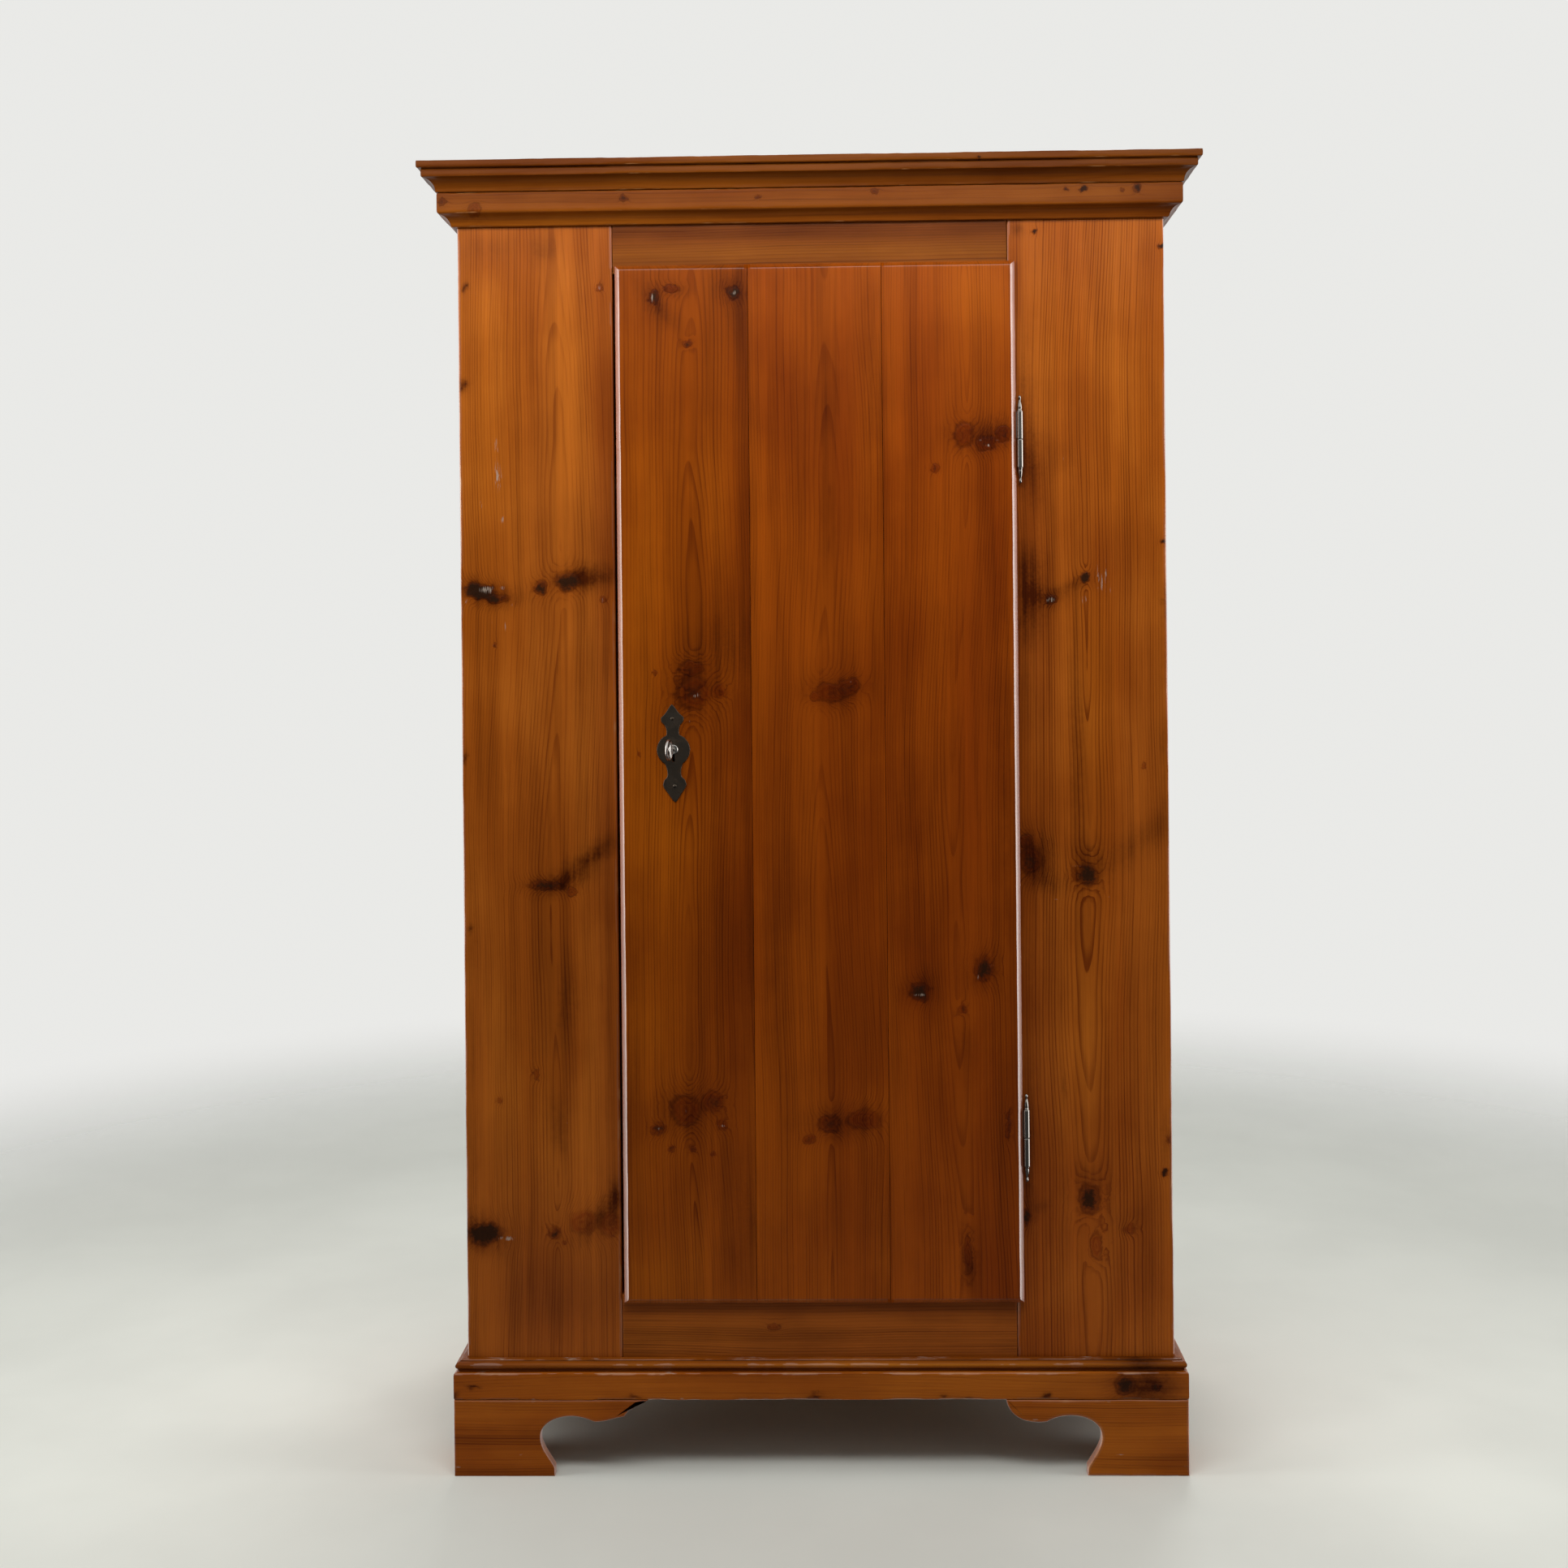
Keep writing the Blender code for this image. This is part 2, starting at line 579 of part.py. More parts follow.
outer_half = HALF_WIDTH + PLINTH_PROUD
front_corner = 2 * FIT - PLINTH_PROUD
for side, sign in (("left", -1), ("right", 1)):
    bracket_foot(f"foot_front_{side}", FOOT_SPAN, FOOT_TOE, front_foot_place(sign), FIT)
    bracket_foot(f"foot_side_{side}_front", SIDE_FOOT_SPAN, SIDE_FOOT_TOE,
                 side_foot_place(sign, front_corner, 1), FIT)
    bracket_foot(f"foot_side_{side}_rear", SIDE_FOOT_SPAN, SIDE_FOOT_TOE,
                 side_foot_place(sign, BODY_DEPTH, -1), 0)
    for end, near, far in (("front", 0, BLOCK_SIZE), ("rear", BODY_DEPTH, BODY_DEPTH - BLOCK_SIZE)):
        bevel = math.copysign(BLOCK_CHAMFER, near - far)
        near_edge = near + math.copysign(FIT, far - near) if end == "front" else near
        block_section = ((sign * HALF_WIDTH, near_edge), (sign * (HALF_WIDTH - BLOCK_SIZE), near_edge),
                         (sign * (HALF_WIDTH - BLOCK_SIZE), far + bevel),
                         (sign * (HALF_WIDTH - BLOCK_SIZE + BLOCK_CHAMFER), far),
                         (sign * HALF_WIDTH, far))
        piece(f"foot_block_{side}_{end}",
              section_along_z(block_section, 0, FOOT_HEIGHT - FIT), "shaded_pine")

# Door: each board is what an upright section and a cross section have in common
door_axis = turning_axis("door_axis", at(HINGE_X, HINGE_DEPTH, DOOR_BOTTOM))


def lipped_edges(low, high, low_edge, high_edge):
    """The door's section between two edges, as (position, depth) points. An edge may be plain."""
    points = []
    for edge, inward, lipped in ((low, 1, low_edge), (high, -1, high_edge)):
        run = [(edge, -DOOR_PROUD), (edge, DOOR_BACK)]
        if lipped:
            run = [(edge + inward * CHAMFER_WIDTH, -DOOR_PROUD),
                   (edge, CHAMFER_DEPTH - DOOR_PROUD), (edge, -LIP_CLEARANCE),
                   (edge + inward * LIP_WIDTH, -LIP_CLEARANCE), (edge + inward * LIP_WIDTH, DOOR_BACK)]
        points.extend(run if inward > 0 else run[::-1])
    return points


board_pitch = (DOOR_RIGHT - DOOR_LEFT) / DOOR_BOARD_COUNT
upright = [(depth, z) for z, depth in lipped_edges(DOOR_BOTTOM, DOOR_TOP, True, True)]
door_boards = []
for number in range(DOOR_BOARD_COUNT):
    first = number == 0
    last = number == DOOR_BOARD_COUNT - 1
    low = DOOR_LEFT + number * board_pitch + (0 if first else FIT / 2)
    high = DOOR_LEFT + (number + 1) * board_pitch - (0 if last else FIT / 2)
    cross = lipped_edges(low, high, first, last)
    door_board = piece(f"door_board_{number + 1}", section_along_z(
        cross, DOOR_BOTTOM - OVERRUN, DOOR_TOP + OVERRUN), "front_pine", door_axis)
    shape_with(door_board, section_along_x(upright, low - OVERRUN, high + OVERRUN),
               "INTERSECT", "upright_section")
    door_boards.append(door_board)


def batten_section(centre, clearance):
    """The batten's (depth, z) section, with its dovetail in the boards. Clearance widens the dovetail."""
    half = BATTEN_HEIGHT / 2 - DOVETAIL_FLARE
    tip = half + DOVETAIL_FLARE + clearance
    root = half + clearance
    rear = DOOR_BACK + BATTEN_PROUD
    return ((DOOR_BACK - DOVETAIL_DEPTH - clearance, centre - tip), (DOOR_BACK, centre - root),
            (rear - BATTEN_CHAMFER, centre - root), (rear, centre - root + BATTEN_CHAMFER),
            (rear, centre + root - BATTEN_CHAMFER), (rear - BATTEN_CHAMFER, centre + root),
            (DOOR_BACK, centre + root), (DOOR_BACK - DOVETAIL_DEPTH - clearance, centre + tip))


batten_left = DOOR_LEFT + LIP_WIDTH + BATTEN_END_GAP
batten_right = DOOR_RIGHT - LIP_WIDTH - BATTEN_END_GAP
for label, centre in (("upper", DOOR_TOP - BATTEN_INSET), ("lower", DOOR_BOTTOM + BATTEN_INSET)):
    piece(f"door_batten_{label}",
          section_along_x(batten_section(centre, 0), batten_left, batten_right), "inner_pine", door_axis)
    for door_board in door_boards:
        cut(door_board, section_along_x(batten_section(centre, FIT), batten_left - FIT,
                                        batten_right + FIT), f"{label}_batten_housing")

# Hinges: a knuckle with its leaf on the frame, another on the door, and a pin through both
FINIAL_SHARES = ((1.00, 0.00), (1.00, 0.06), (0.86, 0.12), (0.92, 0.20), (0.78, 0.42), (0.55, 0.60),
                 (0.42, 0.68), (0.44, 0.73), (0.60, 0.80), (0.60, 0.88), (0.42, 0.96), (0.16, 1.00))
bore = PIN_RADIUS + PIN_CLEARANCE
leaf_root = bore + (BARREL_RADIUS - bore) * LEAF_WALL_SHARE


def knuckle(low, high):
    """A hinge knuckle: a short tube round the pin with eased ends."""
    ease = (BARREL_RADIUS - bore) / 4
    profile = ((BARREL_RADIUS - ease, low), (BARREL_RADIUS, low + ease), (BARREL_RADIUS, high - ease),
               (BARREL_RADIUS - ease, high), (bore, high), (bore, low))
    return turned_upright(HINGE_X, HINGE_DEPTH, profile, TURNED_SIDES, closed=True)


for label, middle in (("upper", HINGE_UPPER), ("lower", HINGE_LOWER)):
    foot_of_barrel = middle - KNUCKLE_LENGTH - KNUCKLE_GAP / 2
    head_of_barrel = middle + KNUCKLE_LENGTH + KNUCKLE_GAP / 2
    half_leaf = LEAF_THICK / 2

    frame_half = piece(f"hinge_frame_leaf_{label}",
                       knuckle(foot_of_barrel, middle - KNUCKLE_GAP / 2), "bright_steel",
                       rounded=True)
    frame_leaf_low = foot_of_barrel + LEAF_END_GAP
    frame_leaf_high = middle - KNUCKLE_GAP / 2 - LEAF_END_GAP
    shape_with(frame_half, block((HINGE_X - half_leaf, HINGE_DEPTH + leaf_root, frame_leaf_low),
                                 (HINGE_X + half_leaf, FRAME_LEAF_DEPTH, frame_leaf_high)),
               "UNION", "leaf")
    cut(stiles["right"], block(
        (HINGE_X - half_leaf - FIT, -OVERRUN, frame_leaf_low - FIT),
        (HINGE_X + half_leaf + FIT, FRAME_LEAF_DEPTH + FIT, frame_leaf_high + FIT)), f"{label}_leaf_slot")

    door_half = piece(f"hinge_door_leaf_{label}",
                      knuckle(middle + KNUCKLE_GAP / 2, head_of_barrel), "bright_steel", door_axis,
                      rounded=True)
    door_leaf_low = middle + KNUCKLE_GAP / 2 + LEAF_END_GAP
    door_leaf_high = head_of_barrel - LEAF_END_GAP
    door_leaf_end = DOOR_RIGHT - DOOR_LEAF_LENGTH
    shape_with(door_half, block((door_leaf_end, HINGE_DEPTH - half_leaf, door_leaf_low),
                                (HINGE_X - leaf_root, HINGE_DEPTH + half_leaf, door_leaf_high)),
               "UNION", "leaf")
    cut(door_boards[-1], block(
        (door_leaf_end - FIT, HINGE_DEPTH - half_leaf - FIT, door_leaf_low - FIT),
        (DOOR_RIGHT + OVERRUN, HINGE_DEPTH + half_leaf + FIT, door_leaf_high + FIT)),
        f"{label}_leaf_slot")

    pin_profile = [(FINIAL_RADIUS * wide, foot_of_barrel - FIT - FINIAL_LENGTH * up)
                   for wide, up in reversed(FINIAL_SHARES)]
    pin_profile += [(PIN_RADIUS, foot_of_barrel - FIT), (PIN_RADIUS, head_of_barrel + FIT)]
    pin_profile += [(FINIAL_RADIUS * wide, head_of_barrel + FIT + FINIAL_LENGTH * up)
                    for wide, up in FINIAL_SHARES]
    piece(f"hinge_pin_{label}", turned_upright(HINGE_X, HINGE_DEPTH, pin_profile, TURNED_SIDES),
          "bright_steel", rounded=True)

# Lock plate: one half of its outline in shares of the half width and of the height up or down
PLATE_UP_SHARES = ((0.00, 1.00), (0.10, 0.97), (0.36, 0.83), (0.56, 0.75), (0.68, 0.71), (0.66, 0.63),
                   (0.57, 0.58), (0.46, 0.54), (0.37, 0.44), (0.37, 0.34), (0.44, 0.31), (0.70, 0.25),
                   (0.92, 0.13))
PLATE_DOWN_SHARES = ((1.00, 0.00), (0.93, 0.12), (0.72, 0.22), (0.52, 0.28), (0.43, 0.37), (0.40, 0.47),
                     (0.46, 0.53), (0.62, 0.58), (0.70, 0.67), (0.62, 0.74), (0.44, 0.82), (0.14, 0.96))
NAIL_HEAD_SHARES = ((0.30, 1.00), (0.66, 0.82), (0.90, 0.45), (1.00, 0.00))


def plate_outline():
    """The plate's outline round the lock's axis, clockwise from the upper tip."""
    right = [(across * PLATE_HALF_WIDTH, up * PLATE_UP) for across, up in PLATE_UP_SHARES]
    right += [(across * PLATE_HALF_WIDTH, -down * PLATE_DOWN) for across, down in PLATE_DOWN_SHARES]
    left = [(-across, up) for across, up in reversed(right[1:])]
    return right + [(0, -PLATE_DOWN)] + left


def inset(outline, distance):
    """The outline moved inwards, each point along the mean of its two edges' normals."""
    moved = []
    for index, point in enumerate(outline):
        before = Vector(outline[index - 1])
        here = Vector(point)
        after = Vector(outline[(index + 1) % len(outline)])
        towards = ((here - before).normalized() + (after - here).normalized()).normalized()
        moved.append((here.x + towards.y * distance, here.y - towards.x * distance))
    return moved


def tilted_on_door(outline):
    """Points round the lock's axis, turned by the plate's tilt and placed on the door."""
    turn = math.radians(PLATE_TILT_DEGREES)
    return [(LOCK_X + across * math.cos(turn) - up * math.sin(turn),
             LOCK_HEIGHT + across * math.sin(turn) + up * math.cos(turn)) for across, up in outline]


plate_rear = -DOOR_PROUD - FIT
plate_face = plate_rear - PLATE_THICK
plain_outline = tilted_on_door(plate_outline())
bevelled_outline = tilted_on_door(inset(plate_outline(), PLATE_BEVEL))
lock_plate = piece("lock_plate", loft([
    [at(x, plate_rear, z) for x, z in plain_outline],
    [at(x, plate_face + PLATE_BEVEL, z) for x, z in plain_outline],
    [at(x, plate_face, z) for x, z in bevelled_outline]]), "dark_iron", door_axis)


def keyhole(front, back):
    """The keyhole: a round for the shank and a slot below it for the bit."""
    half_slot = (KEY_BIT_THICK + KEYHOLE_SLOT_PLAY) / 2
    drop = KEY_BIT_REACH + KEYHOLE_SPARE
    round_hole = KEY_SHANK_RADIUS + KEYHOLE_PLAY
    start = math.asin(half_slot / round_hole)
    steps = 2 * SMALL_SIDES
    outline = [(-half_slot, -drop), (half_slot, -drop)]
    for index in range(steps + 1):
        angle = -math.pi / 2 + start + (2 * math.pi - 2 * start) * index / steps
        outline.append((round_hole * math.cos(angle), round_hole * math.sin(angle)))
    return section_along_depth([(LOCK_X + across, LOCK_HEIGHT + up) for across, up in outline],
                               front, back)


lock_board = door_boards[int(LOCK_FROM_EDGE // board_pitch)]
cut(lock_plate, keyhole(plate_face - OVERRUN, plate_rear + OVERRUN), "keyhole")
cut(lock_board, keyhole(-DOOR_PROUD - OVERRUN, DOOR_BACK + OVERRUN), "keyhole")

for label, up in (("upper", NAIL_UP), ("lower", -NAIL_DOWN)):
    (nail_x, nail_z), = tilted_on_door([(0, up)])
    head_seat = plate_face - FIT
    nail_profile = [(NAIL_HEAD_RADIUS * wide, head_seat - NAIL_HEAD_HEIGHT * high)
                    for wide, high in NAIL_HEAD_SHARES]
    nail_profile += [(NAIL_RADIUS, head_seat), (NAIL_RADIUS, head_seat + NAIL_LENGTH)]
    piece(f"lock_plate_nail_{label}",
          turned_through_door(nail_x, nail_z, nail_profile, SMALL_SIDES), "dark_iron", door_axis,
          rounded=True)
    nail_hole = ((NAIL_RADIUS + FIT, plate_face - OVERRUN),
                 (NAIL_RADIUS + FIT, head_seat + NAIL_LENGTH + FIT))
    for holed in (lock_plate, lock_board):
        cut(holed, turned_through_door(nail_x, nail_z, nail_hole, SMALL_SIDES), f"{label}_nail_hole")

# Lock case: a box open towards the door's back, with a slot and a rib that guide the bolt
case_front = DOOR_BACK + FIT
case_left = DOOR_LEFT + LIP_WIDTH + CASE_EDGE_GAP
case_right = LOCK_X + CASE_BEHIND_KEY
bolt_low = LOCK_HEIGHT + BOLT_ABOVE_KEY
bolt_high = bolt_low + BOLT_HEIGHT
case_low = LOCK_HEIGHT - KEY_BIT_REACH - CASE_FOOTROOM
case_high = bolt_high + CASE_HEADROOM
rib_left = case_right - CASE_WALL - CASE_RIB_SETBACK
lock_case = piece("lock_case", eased_block(
    (case_left, case_front, case_low), (case_right, CASE_BACK, case_high), CASE_WALL / 4),
    "dark_iron", door_axis)
for label, left, right in (("main_hollow", case_left + CASE_WALL, rib_left),
                           ("rear_hollow", rib_left + CASE_WALL, case_right - CASE_WALL)):
    cut(lock_case, block((left, case_front - OVERRUN, case_low + CASE_WALL),
                         (right, CASE_BACK - CASE_WALL, case_high - CASE_WALL)), label)

bolt_tail = case_right - CASE_WALL - BOLT_TAIL_GAP
cut(lock_case, block((case_left - OVERRUN, BOLT_FRONT - FIT, bolt_low - FIT),
                     (bolt_tail + FIT, BOLT_BACK + FIT, bolt_high + FIT)), "bolt_way")

bolt_axis = turning_axis("bolt_axis", at(case_left, BOLT_FRONT, bolt_low))
bolt_axis["empty"].parent = door_axis["empty"]
bolt_axis["empty"].location = bolt_axis["place"] - door_axis["place"]
talon_left = LOCK_X - TALON_WIDTH / 2
talon_right = LOCK_X + TALON_WIDTH / 2
bolt_outline = ((case_left, bolt_low), (talon_left, bolt_low), (talon_left, bolt_low + TALON_DEPTH),
                (talon_right, bolt_low + TALON_DEPTH), (talon_right, bolt_low),
                (bolt_tail, bolt_low), (bolt_tail, bolt_high), (case_left, bolt_high))
piece("lock_bolt", section_along_depth(bolt_outline, BOLT_FRONT, BOLT_BACK), "bright_steel", bolt_axis)

# Key: a turned shank with a collar, a bow bent a little to the left, and a bit inside the case
key_axis = turning_axis("key_axis", at(LOCK_X, 0, LOCK_HEIGHT))
key_axis["empty"].parent = door_axis["empty"]
key_axis["empty"].location = key_axis["place"] - door_axis["place"]
collar_back = plate_face - KEY_COLLAR_GAP
collar_face = collar_back - KEY_COLLAR_THICK
collar_ease = KEY_COLLAR_RADIUS * KEY_COLLAR_EASE_SHARE
bend_depth = collar_face - KEY_NECK / 3
bit_front = case_front + KEY_BIT_START
bit_back = bit_front + KEY_BIT_LENGTH
key = piece("key", turned_through_door(LOCK_X, LOCK_HEIGHT, (
    (KEY_SHANK_RADIUS * KEY_TIP_SHARE, bit_back + KEY_TIP), (KEY_SHANK_RADIUS, bit_back + KEY_TIP / 2),
    (KEY_SHANK_RADIUS, collar_back), (collar_ease, collar_back),
    (KEY_COLLAR_RADIUS, collar_back - KEY_COLLAR_THICK / 3),
    (KEY_COLLAR_RADIUS, collar_face + KEY_COLLAR_THICK / 3), (collar_ease, collar_face),
    (KEY_SHANK_RADIUS, collar_face), (KEY_SHANK_RADIUS, bend_depth)), TURNED_SIDES),
    "bright_steel", key_axis, rounded=True)


def bent(forward, across, up):
    """A point of the bow: forward from the bend, across and up, turned by the bend."""
    turn = math.radians(KEY_BOW_BEND_DEGREES)
    x = LOCK_X - forward * math.sin(turn) + across * math.cos(turn)
    depth = bend_depth - forward * math.cos(turn) - across * math.sin(turn)
    return at(x, depth, LOCK_HEIGHT + up)


bow_half_depth = KEY_BOW_DEPTH / 2 - KEY_BOW_ROD
bow_half_height = KEY_BOW_HALF_HEIGHT - KEY_BOW_ROD
bow_middle = KEY_NECK + bow_half_depth
bow_stations = 2 * TURNED_SIDES
bow_rings = []
for station in range(bow_stations):
    angle = 2 * math.pi * station / bow_stations
    dent = KEY_BOW_DENT_SHARE * max(0.0, -math.cos(angle)) ** KEY_BOW_DENT_POWER
    forward = bow_middle + bow_half_depth * (math.cos(angle) + dent)
    up = bow_half_height * math.sin(angle)
    bow_rings.append([bent(forward + reach * math.cos(angle), across, up + reach * math.sin(angle))
                      for reach, across in circle(KEY_BOW_ROD, SMALL_SIDES)])
shape_with(key, loft(bow_rings, closed=True), "UNION", "bow")
NECK_WIDTH_SHARES = (0.95, 0.78, 0.78, 0.72)
neck_stations = (-KEY_SHANK_RADIUS / 2, KEY_NECK / 3, KEY_NECK * 2 / 3,
                 bow_middle - bow_half_depth * (1 - KEY_BOW_DENT_SHARE))
neck_rings = []
for forward, wide in zip(neck_stations, NECK_WIDTH_SHARES):
    neck_rings.append([bent(forward, across, up)
                       for across, up in circle(KEY_SHANK_RADIUS * wide, SMALL_SIDES)])
shape_with(key, loft(neck_rings), "UNION", "neck")
bit_low = LOCK_HEIGHT - KEY_BIT_REACH
bit_middle = (bit_front + bit_back) / 2
notch_half = KEY_BIT_NOTCH / 2
notch_top = bit_low + (KEY_BIT_REACH - KEY_SHANK_RADIUS) / 2
bit_outline = ((bit_front, LOCK_HEIGHT), (bit_front, bit_low), (bit_middle - notch_half, bit_low),
               (bit_middle - notch_half, notch_top), (bit_middle + notch_half, notch_top),
               (bit_middle + notch_half, bit_low), (bit_back, bit_low), (bit_back, LOCK_HEIGHT))
shape_with(key, section_along_x(bit_outline, LOCK_X - KEY_BIT_THICK / 2, LOCK_X + KEY_BIT_THICK / 2),
           "UNION", "bit")
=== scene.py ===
"""The looks of the single-door pine cupboard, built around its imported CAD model.

Metres, +Z up, the front faces -Y, the origin is on the floor under the middle of the cupboard.
"""

import math

import bmesh
import bpy
import numpy as np
from mathutils import Matrix, Vector


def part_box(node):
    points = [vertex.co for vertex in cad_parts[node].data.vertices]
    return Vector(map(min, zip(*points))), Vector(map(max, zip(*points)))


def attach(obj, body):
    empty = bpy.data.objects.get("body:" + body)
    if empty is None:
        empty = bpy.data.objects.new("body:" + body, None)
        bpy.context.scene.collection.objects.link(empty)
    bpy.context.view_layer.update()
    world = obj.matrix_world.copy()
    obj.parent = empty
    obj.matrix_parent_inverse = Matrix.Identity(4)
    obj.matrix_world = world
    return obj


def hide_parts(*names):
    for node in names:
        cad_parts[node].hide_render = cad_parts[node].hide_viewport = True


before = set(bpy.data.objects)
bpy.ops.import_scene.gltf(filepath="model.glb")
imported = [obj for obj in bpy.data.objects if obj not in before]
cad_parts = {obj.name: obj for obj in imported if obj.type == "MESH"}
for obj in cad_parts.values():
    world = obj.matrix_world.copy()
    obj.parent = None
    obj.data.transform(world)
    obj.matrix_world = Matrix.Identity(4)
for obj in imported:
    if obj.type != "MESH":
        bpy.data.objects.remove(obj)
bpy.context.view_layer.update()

# Camera: it stands a little to the right of the middle at chest height, level, and looks a degree
# to the left. The lens shift is only what the framing needs.
CAMERA_PLACE = (0.0521, -2.7790, 1.16)
CAMERA_TURN_LEFT = 1.196
CAMERA_ROLL = -0.556
CAMERA_LENS = 41.43
CAMERA_SHIFT = (-0.0179, -0.0849)

lens = bpy.data.cameras.new("camera")
lens.lens = CAMERA_LENS
lens.sensor_width = 36
lens.shift_x, lens.shift_y = CAMERA_SHIFT
camera = bpy.data.objects.new("camera", lens)
bpy.context.scene.collection.objects.link(camera)
camera.matrix_world = (Matrix.Translation(CAMERA_PLACE)
                       @ Matrix.Rotation(math.radians(CAMERA_TURN_LEFT), 4, "Z")
                       @ Matrix.Rotation(math.radians(90), 4, "X")
                       @ Matrix.Rotation(math.radians(CAMERA_ROLL), 4, "Z"))
bpy.context.scene.camera = camera
bpy.context.scene.view_settings.view_transform = "Standard"

# Floor: a wide pale disc whose rim fades into the background, so that any side can be looked at.
# It is a stage and not part of the cupboard.
FLOOR_RADIUS = 9.0
FLOOR_FADE = (0.9, 3.3)
FLOOR_COLOUR = (0.765, 0.785, 0.725)


class Formula:
    """One number in a material's nodes, so that a formula can be written with +, -, * and /."""

    def __init__(self, tree, socket):
        self.tree = tree
        self.socket = socket

    def math(self, operation, *others):
        node = self.tree.nodes.new("ShaderNodeMath")
        node.operation = operation
        for socket, value in zip(node.inputs, (self, *others)):
            if isinstance(value, Formula):
                value.to(socket)
            else:
                socket.default_value = value
        return Formula(self.tree, node.outputs[0])

    def __add__(self, other):
        return self.math("ADD", other)

    def __sub__(self, other):
        return self.math("SUBTRACT", other)

    def __mul__(self, other):
        return self.math("MULTIPLY", other)

    def __truediv__(self, other):
        return self.math("DIVIDE", other)

    __radd__ = __add__
    __rmul__ = __mul__

    def __rsub__(self, other):
        return (self * -1) + other

    def to(self, socket):
        """Feeds this number to a socket."""
        self.tree.links.new(self.socket, socket)

    def slope(self, low, high, at_low=0.0, at_high=1.0):
        """Goes smoothly from at_low to at_high while this number goes from low to high."""
        node = self.tree.nodes.new("ShaderNodeMapRange")
        node.interpolation_type = "SMOOTHSTEP"
        self.to(node.inputs["Value"])
        for name, value in (("From Min", low), ("From Max", high),
                            ("To Min", at_low), ("To Max", at_high)):
            node.inputs[name].default_value = value
        return Formula(self.tree, node.outputs[0])


def new_material(name):
    """A material with its nodes cleared to one Principled shader, and the place as three numbers."""
    material = bpy.data.materials.new(name)
    material.use_nodes = True
    tree = material.node_tree
    shader = next(node for node in tree.nodes if node.type == "BSDF_PRINCIPLED")
    place = tree.nodes.new("ShaderNodeTexCoord")
    split = tree.nodes.new("ShaderNodeSeparateXYZ")
    tree.links.new(place.outputs["Object"], split.inputs[0])
    return material, tree, shader, [Formula(tree, socket) for socket in split.outputs]


def cloud(scales, place, seed, detail=2.0, rough=0.5):
    """Soft noise from 0 to 1. scales are its cells per metre along the three axes of the place."""
    tree = place[0].tree
    joined = tree.nodes.new("ShaderNodeCombineXYZ")
    for socket, part, scale, offset in zip(joined.inputs, place, scales, (1.7, 3.1, 5.3)):
        part.math("MULTIPLY_ADD", scale, seed * offset).to(socket)
    node = tree.nodes.new("ShaderNodeTexNoise")
    node.inputs["Scale"].default_value = 1.0
    node.inputs["Detail"].default_value = detail
    node.inputs["Roughness"].default_value = rough
    tree.links.new(joined.outputs[0], node.inputs["Vector"])
    return Formula(tree, node.outputs[0])


def blend(share, first, second, mode="MIX"):
    """A colour from first to second by a share. Each colour is three numbers or a socket."""
    tree = share.tree
    node = tree.nodes.new("ShaderNodeMix")
    node.data_type = "RGBA"
    node.blend_type = mode
    share.to(node.inputs[0])
    for socket, colour in ((node.inputs[6], first), (node.inputs[7], second)):
        if isinstance(colour, tuple):
            socket.default_value = (*colour, 1.0)
        else:
            tree.links.new(colour, socket)
    return node.outputs[2]


def choose(share, first, second):
    """What a shader shows, from first to second by a share."""
    node = share.tree.nodes.new("ShaderNodeMixShader")
    for socket, source in zip(node.inputs, (share.socket, first, second)):
        share.tree.links.new(source, socket)
    return node.outputs[0]


def bump(tree, shader, height):
    """Raises the surface by a height in metres."""
    node = tree.nodes.new("ShaderNodeBump")
    node.inputs["Strength"].default_value = 1.0
    node.inputs["Distance"].default_value = 1.0
    height.to(node.inputs["Height"])
    tree.links.new(node.outputs[0], shader.inputs["Normal"])


ARRIS_SHARE = 0.35
SHARP_ANGLE = math.radians(38)


def skin(name, *shells):
    """A mesh of closed shells. A shell is an array of rings of points, joined by quads between
    neighbouring rings, how worn each point is or None, and whether the rings run round a loop.
    Where they don't, a flat face closes each end. Quads worn past ARRIS_SHARE get the second
    material."""
    points, faces, worn, start = [], [], [], 0
    for rings, wear, looped in shells:
        count, size = rings.shape[:2]
        steps = np.arange(count if looped else count - 1)[:, None]
        along = np.arange(size)[None, :]
        beside = (along + 1) % size
        after = (steps + 1) % count
        quads = np.stack([steps * size + along, steps * size + beside,
                          after * size + beside, after * size + along], -1).reshape(-1, 4) + start
        faces += quads.tolist()
        if not looped:
            faces.append(list(range(start + size - 1, start - 1, -1)))
            faces.append(list(range(start + (count - 1) * size, start + count * size)))
        points.append(rings.reshape(-1, 3))
        worn.append(np.zeros(count * size) if wear is None else wear.reshape(-1))
        start += count * size
    mesh = bpy.data.meshes.new(name)
    mesh.from_pydata(np.concatenate(points).tolist(), [], faces)
    worn = np.concatenate(worn)
    mesh.attributes.new("worn", "FLOAT", "POINT").data.foreach_set("value", worn.astype(np.float32))
    mesh.polygons.foreach_set("material_index", [
        int(len(face) == 4 and worn[face].mean() > ARRIS_SHARE) for face in faces])
    shape = bmesh.new()
    shape.from_mesh(mesh)
    bmesh.ops.recalc_face_normals(shape, faces=shape.faces)
    shape.to_mesh(mesh)
    shape.free()
    mesh.shade_smooth()
    mesh.set_sharp_from_angle(angle=SHARP_ANGLE)
    made = bpy.data.objects.new(name, mesh)
    bpy.context.scene.collection.objects.link(made)
    return made


